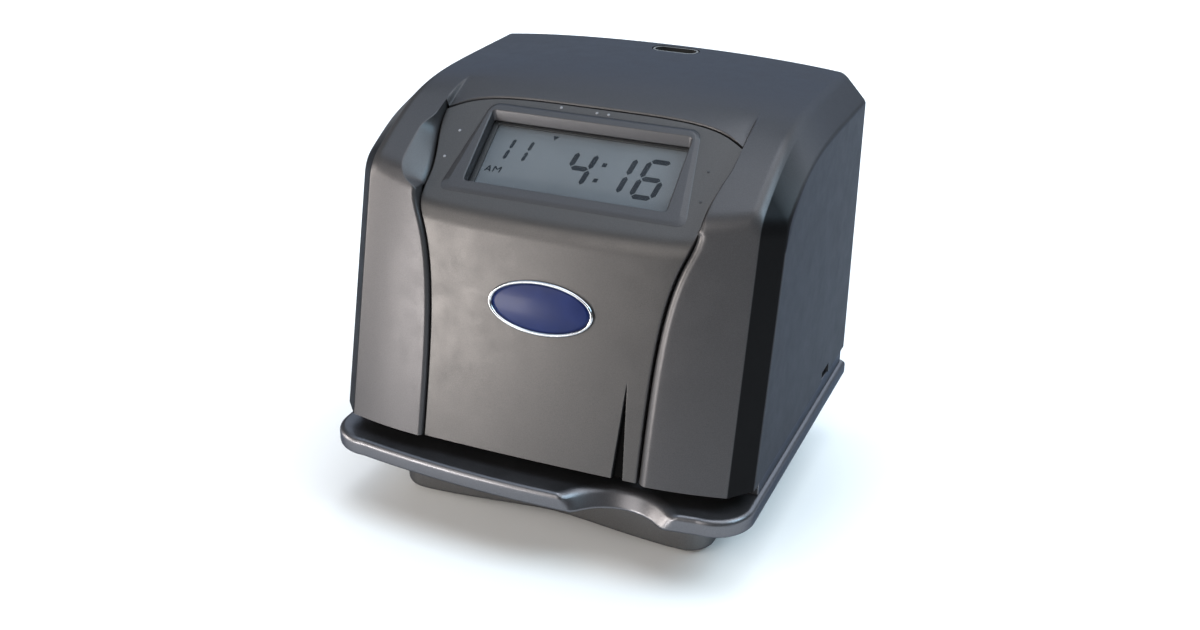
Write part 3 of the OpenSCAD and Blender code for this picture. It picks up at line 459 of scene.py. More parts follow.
finishes = {
    # the case's finish carries painted shade on its chamfered front corners
    "case_plastic": satinFinish("caseSatinCornerShade", (0.070, 0.068, 0.071), paintedCornerShade=True),
    # the fascia's finish carries painted shade in the groove of its wedge mark
    "fascia_plastic": satinFinish("fasciaSatinMarkShade", (0.073, 0.070, 0.070), paintedMarkShade=True),
    "bezel_plastic": satinFinish("bezelSatin", (0.068, 0.067, 0.071)),
    "clear_window": windowFinish("clearSheet"),
    "display_glass": cellFinish("crystalCell", (0.112, 0.125, 0.142)),
    "badge_chrome": metalFinish("polishedRim", (0.56, 0.57, 0.60), 0.16, scale=900.0),
    "badge_blue": enamelFinish("blueEnamel", (0.006, 0.015, 0.080)),
    "table_plastic": satinFinish("tableSatin", (0.125, 0.124, 0.134), metal=0.92),
    "pedestal_plastic": satinFinish("pedestalSatin", (0.150, 0.148, 0.150), metal=0.88),
    "rubber": rubberFinish("footRubber", (0.03, 0.03, 0.03)),
    "sheet_steel": metalFinish("zincSheet", (0.62, 0.63, 0.65), 0.36, (1.0, 8.0, 8.0), 260.0),
    "painted_plate": powderFinish("platePowder", (0.10, 0.105, 0.115), 0.5),
    "shaft_steel": metalFinish("groundBar", (0.74, 0.75, 0.77), 0.2, (14.0, 1.0, 1.0), 500.0),
    "screw_steel": metalFinish("platedScrew", (0.70, 0.70, 0.72), 0.3),
    "bronze": metalFinish("sinteredBush", (0.62, 0.42, 0.20), 0.45, scale=1500.0, depth=0.00002),
    "motor_steel": metalFinish("drawnCan", (0.48, 0.49, 0.51), 0.34, (1.0, 10.0, 10.0), 300.0),
    "brass": metalFinish("turnedBrass", (0.74, 0.56, 0.26), 0.26, (12.0, 1.0, 1.0), 500.0),
    "nylon": mouldedFinish("naturalNylon", (0.80, 0.78, 0.71), 0.5, mottle=0.05),
    "black_plastic": mouldedFinish("blackMoulding", (0.028, 0.028, 0.031), 0.42),
    "switch_plastic": mouldedFinish("redMoulding", (0.45, 0.045, 0.035), 0.4),
    "ribbon_cloth": clothFinish("inkedWeave", (0.03, 0.02, 0.07)),
    "board_green": boardFinish("solderResist", (0.03, 0.17, 0.08)),
    "battery_sleeve": mouldedFinish("shrinkSleeve", (0.06, 0.22, 0.13), 0.28, grain=500.0),
    "head_metal": metalFinish("finnedCasting", (0.42, 0.43, 0.45), 0.48, scale=1500.0, depth=0.00003),
    "button_plastic": mouldedFinish("buttonMoulding", (0.72, 0.72, 0.68), 0.4),
}
for row in frame["record"]["subparts"]:
    solid = frame["nodes"][row["node"]]
    solid.data.materials.clear()
    solid.data.materials.append(finishes[row["material_slot"]])
print("finishes:", len(finishes))


# the skin's curves: a is the distance from the middle

def ramp(t, soft):
    # a straight ramp whose foot is a parabola of half width soft
    return np.where(t < -soft, 0.0, np.where(t > soft, t, (t + soft) ** 2 / (4 * soft)))


def smoothStep(t, start, length):
    # 0 before start, 1 past its length, a cubic between
    t = np.clip((t - start) / length, 0.0, 1.0)
    return t * t * (3 - 2 * t)


def softMin(a, b, soft):
    # the lower of two heights, blended where they are within soft of each other
    h = np.maximum(soft - np.abs(a - b), 0.0) / soft
    return np.minimum(a, b) - h * h * soft / 4


def bowFace(a):
    # how far the front falls back: a wide parabola, then a tighter one
    d = np.maximum(a - case["bowFlat"], 0.0)
    f = np.minimum(a, case["bowFlat"])
    return f * f / (2 * case["bowR"]) + d * case["bowFlat"] / case["bowR"] + d * d / (2 * case["pillarR"])


def bow(a):
    # the same with the chamfered corner, a ramp
    corner = ramp(a - case["halfWidth"] + case["cornerRun"], case["cornerSoft"])
    return bowFace(a) + case["cornerDepth"] / case["cornerRun"] * corner


def bevel(a):
    # how far the upper side edge falls: a ramp
    return case["bevelDrop"] / case["bevelWidth"] * ramp(a - case["halfWidth"] + case["bevelWidth"], case["bevelSoft"])


def arcCentre(a):
    return case["topZ"] + case["shoulderLift"] - case["shoulderR"] - bevel(a)


def roofZ(a, y):
    # the shoulder's arc up to its apex, under a crown that falls off as the square of a
    reach = np.minimum(y - case["apexY"], 0.0)
    arc = arcCentre(a) + np.sqrt(np.maximum(case["shoulderR"] ** 2 - reach ** 2, 0.0))
    return softMin(case["topZ"] - a * a / (2 * case["crownR"]) - bevel(a), arc, case["roofSoft"])


def roofSlope(a, y, e=0.05):
    # the roof's rise for each step back, over a short distance
    return (roofZ(a, y + e) - roofZ(a, y - e)) / (2 * e)


def squareTo(dy, dz):
    # unit direction into the case from a side outline that runs along dy, dz
    length = np.hypot(dy, dz)
    return dz / length, -dy / length


def foldPoint(a):
    # where the leaning front line meets the shoulder's arc
    k, centre = frontAt(0.0) + bow(a) - case["apexY"], arcCentre(a)
    p, q = 1 + tanLean ** 2, tanLean * k - centre
    z = (-q + np.sqrt(q * q - p * (k * k + centre * centre - case["shoulderR"] ** 2))) / p
    return frontAt(z) + bow(a), z


def skin(a, s, yEnd):
    # side outline: s 0 to 1 climbs the front, 1 to 2 rolls over the fold, 2 to 3 runs back to yEnd
    a, s = np.broadcast_arrays(np.asarray(a, float), np.asarray(s, float))
    fy, fz = foldPoint(a)
    f = case["foldRound"]
    tilt = np.arcsin((case["apexY"] - fy) / case["shoulderR"])
    by, bz = fy - f * sinLean, fz - f * cosLean
    ay = fy + f * np.cos(tilt)
    az = roofZ(a, ay)
    frontZ = case["lowZ"] + (bz - case["lowZ"]) * np.clip(s, 0, 1)
    t = np.clip(s - 1, 0, 1)
    topY = ay + (yEnd - ay) * np.clip(s - 2, 0, 1)
    y = np.where(s <= 1, frontAt(frontZ) + bow(a), np.where(s <= 2, turnOver(t, by, fy, ay), topY))
    z = np.where(s <= 1, frontZ, np.where(s <= 2, turnOver(t, bz, fz, az), roofZ(a, topY)))
    return y, z


def inward(a, s, yEnd, e=0.01):
    # unit direction into the case, square to the side outline
    y0, z0 = skin(a, np.clip(s - e, 0, 3), yEnd)
    y1, z1 = skin(a, np.clip(s + e, 0, 3), yEnd)
    slope = roofSlope(a, skin(a, s, yEnd)[0])
    return squareTo(np.where(s > 2, 1.0, y1 - y0), np.where(s > 2, slope, z1 - z0))


def flareX(z):
    # the seam's distance from the middle opens out as an exponential of the height over the fold
    over = np.minimum(z - case["foldZ"], case["flareCap"])
    return case["panelHalf"] + case["flare"] * np.exp(over / case["flareLength"])


def seamX(z):
    # the fascia's edge: straight low down, flaring at the fold, then widening slowly up the display face
    widened = smoothStep(z, case["widenFrom"], case["widenLength"])
    return softMin(flareX(z), case["faceHalf"] + (case["displayHalf"] - case["faceHalf"]) * widened, case["seamSoft"])


def facePlace(x, u, n):
    # a point on the display face: u up its slope from the fold, n out of it
    x, u, n = np.broadcast_arrays(np.asarray(x, float), np.asarray(u, float), np.asarray(n, float))
    return np.stack([x, faceY + u * cosSlope - n * sinSlope, case["foldZ"] + u * sinSlope + n * cosSlope], -1)


def frontPlace(x, z, v, n):
    # a point on the leaning front: v up its slope from height z, n out of it
    x, v, n = np.broadcast_arrays(np.asarray(x, float), np.asarray(v, float), np.asarray(n, float))
    return np.stack([x, frontAt(z) + v * sinLean - n * cosLean, z + v * cosLean + n * sinLean], -1)


# hood: the middle of the roof sags a little towards the display's upper corners and ends in a lip

hood = {"sag": 3.0, "half": 67.5, "fadeFrom": -10.0, "fadeLength": 24.0, "edgeRange": (40.0, 68.0),
        "lipRound": 1.1, "leastRound": 0.15, "lipDepth": 6.5, "lipFrom": 58.0, "lipFade": 9.0,
        "columns": (68.6, 68.2, 67.85)}
seamHalf = case["displayHalf"] + case["seam"]


def hoodSag(x, y):
    # grows as the fourth power of the distance from the middle, and fades past the corners and towards the back
    a = np.abs(x)
    across = np.where(a <= hood["half"], (a / hood["half"]) ** 4,
                      1 - smoothStep(a, hood["half"], seamHalf - hood["half"]))
    return hood["sag"] * across * (1 - smoothStep(y, hood["fadeFrom"], hood["fadeLength"]))


def hoodEdgeU(x):
    # how far up the display face the sagging roof meets it, by halving
    low, high = [np.full_like(x, end) for end in hood["edgeRange"]]
    for _ in range(40):
        mid = (low + high) / 2
        y, z = faceY + mid * cosSlope, case["foldZ"] + mid * sinSlope
        above = roofZ(np.abs(x), y) - hoodSag(x, y) > z
        low, high = np.where(above, mid, low), np.where(above, high, mid)
    return (low + high) / 2


# cover: side walls, chamfered corners, pillars, shoulders and roof as one skin, then given its wall

cover = {
    "edgeRound": (2.0, 4.4), "wallLean": (1.0, 0.25),  # seam edge and inner wall, left and right
    "shoulderHalf": 72.2, "shoulderSoft": 4.0, "shoulderFrom": 166.0, "shoulderLength": 9.0, "shoulderRound": 1.2,
    "leastRound": 0.2, "grooveDepth": 6.5, "cornerRound": 1.3, "wallInset": 3.0, "edge": 0.4,
    "columns": (94.9, 93.4, 91.6, 89.8, 88.4, 88.05, 87.75, 87.5, 87.25, 86.95, 86.6, 86.2, 85.8, 85.3, 84.8, 84.2,
                83.6, 83.0, 82.3),  # close columns of points round the chamfered corner
    "slot": (6.0, 78.0, 11.6, 5.1), "notch": (44.0, 56.0, 49.0),
    "thinCorner": (68.2, 173.0, 7.0),  # thin wall round the display's upper corners: x, z, reach
    "rearFrom": (70.0, 158.0), "rearRun": (6.0, 20.0), "rearLess": 0.55,  # thinner wall at the back's upper edge
}


def shoulderX(z):
    # the shoulder's inner edge goes on flaring above the fold, then comes back in at the display's upper corner
    back = smoothStep(z, cover["shoulderFrom"], cover["shoulderLength"])
    return softMin(flareX(z), cover["shoulderHalf"], cover["shoulderSoft"]) - (
        cover["shoulderHalf"] - case["displayHalf"]) * back


def columnsTo(edge):
    # distances from the middle in every row: the close columns, then even steps in to the row's edge
    close = np.array(cover["columns"])
    even = close[-1] + (edge - close[-1]) * np.linspace(0, 1, 18)[1:]
    return np.concatenate([np.broadcast_to(close, (len(edge), len(close))), even], 1)


def wallShares(points, yCorner):
    # parts of the full wall: least round the display's upper corners, less by steps towards the back's upper edge
    x, y, z = np.abs(points[:, 0]), points[:, 1], points[:, 2]
    cornerX, cornerZ, reach = cover["thinCorner"]
    away = np.linalg.norm(np.stack([x - cornerX, y - yCorner, z - cornerZ], -1), axis=1)
    (rearY, rearZ), (runY, runZ) = cover["rearFrom"], cover["rearRun"]
    rear = np.clip((y - rearY) / runY, 0, 1) * np.clip((z - rearZ) / runZ, 0, 1)
    levels = np.linspace(0, 1, 12)
    rear = levels[np.searchsorted(levels, rear, side="right") - 1]
    return np.where(rear > 0, 1 - cover["rearLess"] * rear, away > reach)


def coverPiece():
    yCorner = float((faceY + hoodEdgeU(np.array([hood["half"]])) * cosSlope)[0])
    s = runs(60, 13, 28)[:, None]
    quarter, step = np.radians(np.linspace(0, 90, 8)), np.linspace(0, 1, 9)[1:]
    # xIn is the foot of the inner wall, xTop its upper edge, above the skin's height over the display face
    xTop = np.full_like(s, case["seamGuess"])
    leaning = smoothStep(s, 1.0, 0.4) * (1 - smoothStep(s, 2.5, 0.4))
    for _ in range(14):
        y, z = skin(xTop, s, yCorner)
        above = np.maximum((z - case["foldZ"]) * cosSlope - (y - faceY) * sinSlope, 0.0) * smoothStep(s, 1.0, 0.5)
        xIn = seamX(z - above * cosSlope) + case["seam"]
        xTop = xIn + np.maximum(shoulderX(z) + case["seam"] - xIn, 0.0) * leaning

    def pillarGrid(edgeRound, wallLean):
        # in every row: skin in from the side, rounded seam edge, then the inner wall down
        edgeX = xIn + (xTop - xIn) * wallLean
        radius = edgeRound + (cover["shoulderRound"] - edgeRound) * smoothStep(s, 1.0, 0.7)
        radius = radius * (1 - smoothStep(s, 2.2, 0.8))
        radius = np.where(radius < cover["leastRound"], 0.0, radius)
        deep = np.maximum(cover["grooveDepth"], above + 2.5)
        # where the shoulder stands over the display its wall leans back, and the edge turns only as far as the wall
        lean = (edgeX - xIn) / np.maximum(above, 0.8)
        bend = math.pi / 2 - np.arctan(lean)
        tangent = radius * np.tan(bend / 2)
        edgeTurn = bend * quarter[1:] / (math.pi / 2)
        skinX = columnsTo(edgeX + tangent)
        roundX, roundD = edgeX + tangent - radius * np.sin(edgeTurn), radius * (1 - np.cos(edgeTurn))
        wallD = roundD[:, -1:] + (deep - roundD[:, -1:]) * step
        wallX = xIn + np.maximum(edgeX - xIn - lean * wallD, 0.0)
        across = np.concatenate([skinX, roundX, wallX], 1)
        depth = np.concatenate([np.zeros_like(skinX), roundD, wallD], 1)
        py, pz = skin(across, s, yCorner)
        ny, nz = inward(np.broadcast_to(xIn, across.shape), np.broadcast_to(s, across.shape), yCorner)
        return np.stack([across, py + depth * ny, pz + depth * nz], -1)

    # roof: the whole width, from the display's upper edge to the back
    halfX = np.concatenate([columnsTo(np.array([[seamHalf]]))[0], hood["columns"], np.linspace(hood["half"], 0, 30)])
    roofX = np.concatenate([halfX, -halfX[-2::-1]])
    edgeY = faceY + hoodEdgeU(np.minimum(np.abs(roofX), hood["half"])) * cosSlope
    lipR = hood["lipRound"] * (1 - smoothStep(np.abs(roofX), hood["lipFrom"], hood["lipFade"]))
    lipR = np.where(lipR < hood["leastRound"], 0.0, lipR)
    ry = edgeY + lipR + (case["backY"] - edgeY - lipR) * np.linspace(0, 1, 48)[:, None]
    rx = np.broadcast_to(roofX, ry.shape)
    roof = np.stack([rx, ry, roofZ(np.abs(rx), ry) - hoodSag(rx, ry)], -1)

    # lip: rolls over the roof's front edge and down behind the fascia
    lipCols = np.abs(roofX) <= seamHalf + mergeWithin
    lx, lr = roofX[lipCols], lipR[lipCols]
    atY = edgeY[lipCols] + lr
    atZ = roofZ(np.abs(lx), atY) - hoodSag(lx, atY)
    iy, iz = squareTo(1.0, roofSlope(np.abs(lx), atY))
    wallDown = lr + (hood["lipDepth"] - lr) * step[:, None]
    ahead = np.concatenate([lr * np.sin(quarter[:, None]), np.broadcast_to(lr, wallDown.shape)])
    down = np.concatenate([lr * (1 - np.cos(quarter[:, None])), wallDown])
    lip = np.stack([np.broadcast_to(lx, down.shape), atY + ahead * iz + down * iy, atZ - ahead * iy + down * iz], -1)

    # side walls: from the lower edge up to the side outline, whose corner is rounded by a short curve
    sideY, sideZ = [v[:, 0] for v in skin(np.full_like(s, case["halfWidth"]), s, yCorner)]
    roofSideY = ry[:, 0]
    roofSideZ = roofZ(np.full_like(roofSideY, case["halfWidth"]), roofSideY)
    wallStart = sideY[0] + cover["wallInset"]

    def withWall(grid, sideX, peakY, peakZ, share):
        lowY = wallStart + (case["backY"] - wallStart) * share
        low = np.stack(np.broadcast_arrays(sideX, lowY, case["lowZ"]), -1)
        peak = np.stack(np.broadcast_arrays(sideX, peakY, peakZ), -1)
        before = peak + unit(low - peak) * cover["cornerRound"]
        wall = low[:, None] + (before - low)[:, None] * np.linspace(0, 1, 12)[None, :, None]
        t = np.linspace(0, 1, 7)[1:-1][None, :, None]
        return np.concatenate([wall, turnOver(t, before[:, None], peak[:, None], grid[:, :1]), grid], 1)

    outline = np.concatenate([np.stack([sideY, sideZ], -1), np.stack([roofSideY, roofSideZ], -1)[1:]])
    along = np.concatenate([[0], np.cumsum(np.linalg.norm(np.diff(outline, axis=0), axis=1))])
    along = along / along[-1]
    left, right = [withWall(pillarGrid(*edge), case["halfWidth"], sideY, sideZ, along[:len(sideY)])
                   for edge in zip(cover["edgeRound"], cover["wallLean"])]
    left = left * np.array([-1.0, 1.0, 1.0])
    for side in (1, -1):
        roof = withWall(roof, side * case["halfWidth"], roofSideY, roofSideZ, along[len(sideY) - 1:])[:, ::-1]
    piece = makeMesh("coverShell", [patch(right, flip=True), patch(left), patch(roof, flip=True), patch(lip)])
    thicken(piece, case["wall"], case["lowZ"], wallShares(meshPoints(piece), yCorner))

    # lock slot in the roof and pry notches low in the sides
    cx, cy, hx, hy = cover["slot"]
    angle = np.radians(np.arange(0, 360, 6.0))
    oval = np.stack([cx + np.sign(np.cos(angle)) * (hx - hy) + hy * np.cos(angle), cy + hy * np.sin(angle)], -1)
    cut(piece, ringStack([atHeight(oval, case["topZ"] + h) for h in (-10.0, 4.0)], caps=True))
    y0, y1, top = cover["notch"]
    beyond = case["halfWidth"] + 3.0
    cut(piece, [boxPatch((-beyond, y0, case["lowZ"] - 4.0), (beyond, y1, top))])
    softEdges(piece, cover["edge"])
    settle(piece, "cover", "case_plastic", "case_cover")


coverPiece()
print("cover shell done")


# fascia: panel, fold and display face as one skin between the seams

fascia = {"recess": 1.6, "wall": 0.8, "depth": 5.0, "edgeRound": 0.7, "topGap": 1.6, "topRound": 0.5, "edge": 0.25,
          "hole": (47.7, 13.4, 54.2), "markReach": 2.9, "markClear": 0.3, "markSoft": (-0.12, 0.4)}


def fasciaPiece():
    hx, u0, u1 = fascia["hole"]
    markX, markHalf, markTall, markDeep = case["mark"]
    # columns over the hole's width, close together at the mark
    coarse = np.linspace(-hx, hx, 49)
    fine = np.linspace(markX - fascia["markReach"], markX + fascia["markReach"], 40)
    clear = (coarse < fine[0] - fascia["markClear"]) | (coarse > fine[-1] + fascia["markClear"])
    inner = np.sort(np.concatenate([coarse[clear], fine]))
    outer, step = np.linspace(0, 1, 9)[1:], np.linspace(0, 1, 5)[1:]
    turn = np.radians(np.linspace(0, 90, 7)[1:])
    # rows: 0 to 1 the panel, 1 to 2 the fold, 2 to 3 up to the hole, 3 to 4 past it, 4 to 5 the upper edge
    rows = np.concatenate([np.linspace(0, 0.5, 64), np.linspace(0.5, 1, 28)[1:], runs(2, 13, 8, 16, 6)[2:]])

    def place(x, r):
        x, r = np.broadcast_arrays(x, r)
        a, f, t = np.abs(x), case["foldRound"], np.clip(r - 1, 0, 1)
        # the fold follows the panel's bow, so it climbs towards the seams
        fu = (bowFace(a) + fascia["recess"] - case["faceInset"]) / (cosSlope - sinSlope * tanLean)
        cy, cz = faceY + fu * cosSlope, case["foldZ"] + fu * sinSlope
        by, bz = cy - f * sinLean, cz - f * cosLean
        ay, az = cy + f * cosSlope, cz + f * sinSlope
        frontZ = case["lowZ"] + (bz - case["lowZ"]) * np.clip(r, 0, 1)
        topU = hoodEdgeU(np.minimum(a, hood["half"])) - fascia["topGap"]
        past = np.minimum(u1, topU - 1.5)
        u = np.where(r < 3, fu + f + (u0 - fu - f) * np.clip(r - 2, 0, 1),
                     np.where(r < 4, u0 + (past - u0) * (r - 3), past + (topU - past) * np.clip(r - 4, 0, 1)))
        y = np.where(r <= 1, frontAt(frontZ) + bowFace(a) + fascia["recess"],
                     np.where(r <= 2, turnOver(t, by, cy, ay), faceY + u * cosSlope))
        z = np.where(r <= 1, frontZ, np.where(r <= 2, turnOver(t, bz, cz, az), case["foldZ"] + u * sinSlope))
        return y, z

    def facing(x, r, e=0.01):
        # unit direction into the case, square to the side outline
        (y0, z0), (y1, z1) = place(x, np.clip(r - e, 0, 5)), place(x, np.clip(r + e, 0, 5))
        return squareTo(y1 - y0, z1 - z0)

    r = rows[:, None]
    edge = np.full_like(r, case["seamGuess"])
    for _ in range(14):
        edge = seamX(place(edge, r)[1])
    # columns beside the hole: out to the seam, over its rounded edge and down its wall
    rad = fascia["edgeRound"]
    half = np.concatenate([hx + (edge - rad - hx) * outer, edge - rad + rad * np.sin(turn),
                           np.repeat(edge, len(step), 1)], 1)
    drop = np.concatenate([0 * outer, rad * (1 - np.cos(turn)), rad + (fascia["depth"] - rad) * step])
    x = np.concatenate([-half[:, ::-1], np.broadcast_to(inner, (len(r), len(inner))), half], 1)
    d = np.concatenate([drop[::-1], 0 * inner, drop])
    y, z = place(x, r)
    ny, nz = facing(np.clip(x, -edge, edge), r)
    # wedge mark: a shallow groove that narrows upwards to a point
    tall = (z - case["lowZ"]) / cosLean
    inside = markHalf * (1 - tall / markTall) - np.abs(x - markX)
    d = d + np.where(tall < markTall, markDeep * smoothStep(inside, *fascia["markSoft"]), 0.0)
    grid = np.stack([x, y + d * ny, z + d * nz], -1)
    # the upper edge rolls over and goes down
    flat = 0 * x[-1]
    topN, up = np.stack([flat, ny[-1], nz[-1]], -1), np.stack([flat, -nz[-1], ny[-1]], -1)
    lipR = fascia["topRound"]
    slack = np.concatenate([np.ones(len(outer)), np.cos(turn), 0 * step])
    slack = np.concatenate([slack[::-1], np.ones(len(inner)), slack])[None, :, None]
    upBy = np.concatenate([lipR * np.sin(turn), np.full(len(step), lipR)])[:, None, None]
    downTo = np.concatenate([lipR * (1 - np.cos(turn)), lipR + (fascia["depth"] - lipR) * step])[:, None, None]
    sunk = np.maximum(downTo - d[-1][None, :, None], 0.0)
    grid = np.concatenate([grid, grid[-1] + upBy * slack * up + sunk * topN])
    midX = (grid[:-1, :-1, 0] + grid[1:, 1:, 0]) / 2
    rowMid = np.concatenate([(rows[1:] + rows[:-1]) / 2, np.full(len(turn) + len(step), np.inf)])[:, None]
    keep = ~((np.abs(midX) < hx) & (rowMid > 3) & (rowMid < 4))
    piece = makeMesh("fasciaShell", [patch(grid, keep=keep)])
    thicken(piece, fascia["wall"], case["lowZ"])
    softEdges(piece, fascia["edge"], 60.0)
    settle(piece, "cover", "fascia_plastic", "front_fascia")


fasciaPiece()
print("fascia done")


# bezel: a raised frame that widens towards the fold, with a deep bevelled opening

bezel = {"low": 56.0, "high": 48.2, "foot": 10.5, "head": 58.5, "proud": 1.4, "opening": (45.0, 17.4, 50.6),
         "footShare": 0.2, "headDraw": 0.35}


def bezelPiece():
    ox, oa, ob = bezel["opening"]

    def tilted(loop, n):
        # the frame's top leans: low at the foot, proud at the head
        share = (loop[:, 1] - bezel["foot"]) / (bezel["head"] - bezel["foot"])
        return facePlace(*loop.T, n * (bezel["footShare"] + (1 - bezel["footShare"]) * share))

    def ring(side, foot, head, n, radius):
        # outer outline, drawn in at its sides, its foot and its head
        low, high = bezel["low"] - side, bezel["high"] - side * bezel["headDraw"]
        a, b = bezel["foot"] + foot, bezel["head"] - head
        return tilted(roundedLoop([(-low, a), (low, a), (high, b), (-high, b)], radius), n)

    def mouth(side, lowEnd, highEnd, n, radius):
        # outline of the opening, let out at its sides, its lower and its upper end
        loop = roundedBox(-ox - side, ox + side, oa - lowEnd, ob + highEnd, radius)
        return tilted(loop, n) if n > 0 else facePlace(*loop.T, n)

    top = bezel["proud"]
    rings = [ring(0.0, 0.0, 0.0, -0.3, 5.0), ring(0.0, 0.0, 0.0, 0.05, 5.0), ring(1.1, 0.6, 0.5, 0.45, 4.8),
             ring(2.4, 1.4, 1.2, 0.98, 4.4), ring(3.2, 2.0, 1.8, top - 0.06, 4.2), ring(3.9, 2.6, 2.2, top, 4.0),
             mouth(1.6, 1.3, 3.6, top, 2.4), mouth(1.35, 1.1, 3.3, top - 0.05, 2.2),
             mouth(1.1, 0.9, 3.0, top - 0.3, 2.0), mouth(0.9, 0.75, 2.8, top - 0.7, 1.8),
             mouth(0.25, 0.2, 0.4, -2.2, 1.0), mouth(0.2, 0.15, 0.3, -3.0, 1.0),
             mouth(2.4, 2.4, 2.4, -3.0, 1.0), mouth(2.4, 2.4, 2.4, -0.3, 1.0)]
    piece = makeMesh("bezelFrame", ringStack(rings, closed=True), outward=True)
    weighNormals(piece)
    settle(piece, "cover", "bezel_plastic", "display_bezel")


# marks: small bare domes on the face round the bezel

marks = {"pale": [(-16.1, 60.4), (0.6, 60.0), (6.0, 60.0), (-57.6, 41.4), (-59.2, 27.2)],
         "dark": [(57.0, 38.8), (58.2, 23.9)], "radius": 0.65,
         "dome": ((1.0, -0.4), (1.0, 0.05), (0.85, 0.2), (0.5, 0.23), (0.15, 0.25))}  # parts of the radius, heights


def marksPiece(name, places, finish):
    angle = np.radians(np.arange(0, 360, 20.0))
    patches = []
    for x, u in places:
        rings = [facePlace(x + k * marks["radius"] * np.cos(angle), u + k * marks["radius"] * np.sin(angle), n)
                 for k, n in marks["dome"]]
        patches += ringStack(rings, caps=True)
    piece = makeMesh(name, patches, outward=True)
    settle(piece, "cover", "bezel_plastic", finish=finish)


marksPiece("paleMarks", marks["pale"], mouldedFinish("markPale", (0.22, 0.22, 0.24), 0.45))
marksPiece("darkMarks", marks["dark"], mouldedFinish("markDark", (0.02, 0.02, 0.024), 0.4))
bezelPiece()
print("bezel done")


# display cell: a glass plate with dark seven-bar figures in it

cell = {"half": (48.0, 18.75), "middle": 35.8, "top": -5.2, "thick": 2.8, "corner": 0.8, "edge": 0.25}


def cellPiece():
    hx, hu = cell["half"]
    u, edge = cell["middle"], cell["edge"]
    low, top = cell["top"] - cell["thick"], cell["top"]
    rings = [facePlace(*roundedBox(-hx + draw, hx - draw, u - hu + draw, u + hu - draw, cell["corner"]).T, n)
             for draw, n in ((edge, low), (0.0, low + edge), (0.0, top - edge), (edge, top))]
    piece = makeMesh("displayCell", ringStack(rings, caps=True), outward=True)
    crispEdges(piece, 40.0)
    settle(piece, "base", "display_glass", "display_glass")


# figures: lit bars a to g, lower left corner, width, height, half a bar's breadth

figures = {
    "bars": [("fgbc", -5.4, 26.2, 8.6, 16.6, 1.2), ("bc", 12.6, 25.2, 8.0, 18.4, 1.2),
             ("afgedc", 26.8, 25.0, 9.2, 18.4, 1.2), ("bc", -40.2, 33.2, 4.0, 11.6, 0.8),
             ("bc", -31.6, 33.4, 4.0, 11.4, 0.8)],
    "dots": [(8.6, 29.8), (8.6, 38.0)], "dotHalf": 1.0,
    "letters": [(-41.4, 26.2, -40.1, 29.4), (-40.1, 29.4, -38.8, 26.2), (-40.9, 27.2, -39.3, 27.2),
                (-37.6, 26.2, -37.6, 29.4), (-37.6, 29.4, -36.1, 27.6), (-36.1, 27.6, -34.6, 29.4),
                (-34.6, 29.4, -34.6, 26.2)], "letterHalf": 0.34, "letterShift": 0.01,
    "pointer": [(-20.6, 48.9), (-19.2, 46.6), (-17.8, 48.9)],
    "gap": 0.35, "slant": 0.17, "slantFrom": 27.0, "levels": (-0.1, 0.06),
    "finish": cellFinish("segmentInk", (0.004, 0.007, 0.014)),
}


def barPoly(x0, u0, x1, u1, half):
    # a bar between two points, pointed at both ends
    a, b = np.array([x0, u0]), np.array([x1, u1])
    d = (b - a) / np.linalg.norm(b - a)
    n = np.array([-d[1], d[0]])
    return np.array([a, a + half * (d + n), b - half * (d - n), b, b - half * (d + n), a + half * (d - n)])


def figure(lit, x, u, wide, tall, half):
    # the lit bars of one figure, before the slant
    gap = half * figures["gap"]
    mid, top, right = u + tall / 2, u + tall, x + wide
    ends = {"a": (x, top, right, top), "b": (right, mid, right, top), "c": (right, u, right, mid),
            "d": (x, u, right, u), "e": (x, u, x, mid), "f": (x, mid, x, top), "g": (x, mid, right, mid)}
    polys = []
    for name in lit:
        x0, u0, x1, u1 = ends[name]
        dx, du = np.sign(x1 - x0) * gap, np.sign(u1 - u0) * gap
        polys.append(barPoly(x0 + dx, u0 + du, x1 - dx, u1 - du, half))
    return polys


def figuresPiece():
    polys = [poly for bars in figures["bars"] for poly in figure(*bars)]
    square = np.array([(-1, -1), (1, -1), (1, 1), (-1, 1)]) * figures["dotHalf"]
    polys += [square + np.array(dot) for dot in figures["dots"]]
    # half-day letters, each bar shifted a little so that no two share an edge, and the pointer above them
    polys += [barPoly(*(np.array(ends) + figures["letterShift"] * k), figures["letterHalf"])
              for k, ends in enumerate(figures["letters"])]
    polys.append(np.array(figures["pointer"]))
    patches = []
    for poly in polys:
        x, u = poly.T
        leaned = x + figures["slant"] * (u - figures["slantFrom"])
        patches += ringStack([facePlace(leaned, u, cell["top"] + n) for n in figures["levels"]], caps=True)
    piece = makeMesh("displayFigures", patches, outward=True)
    crispEdges(piece, 40.0)
    settle(piece, "base", "display_glass", finish=figures["finish"])


# gasket: a flat black ring between the cell and the bezel; where it reaches into the opening, mostly at the left and a
# little at the top, it is painted shadow, a dark band that stands in for the shade along the cell's edges

shadowGasket = {"inner": (-43.4, 45.3, 17.3, 50.4, 0.6), "outer": (-47.4, 47.4, 14.6, 53.6, 1.0), "low": -5.2, "top": -4.1,
          "edge": 0.12}


def shadowGasketPiece():
    # painted shadow: the inner edge lies inside the opening at the left and the top, so a black band shows where the
    # cell's edges fall in shade
    inner, outer = [roundedBox(*shadowGasket[side]).T for side in ("inner", "outer")]
    rings = [facePlace(*loop, shadowGasket[level])
             for loop, level in ((outer, "low"), (outer, "top"), (inner, "top"), (inner, "low"))]
    piece = makeMesh("displayShadowGasket", ringStack(rings, closed=True), outward=True)
    softEdges(piece, shadowGasket["edge"], 40.0)
    settle(piece, "base", "black_plastic")


cellPiece()
figuresPiece()
shadowGasketPiece()
print("display done")


# badge: a polished oval rim round a bare domed field

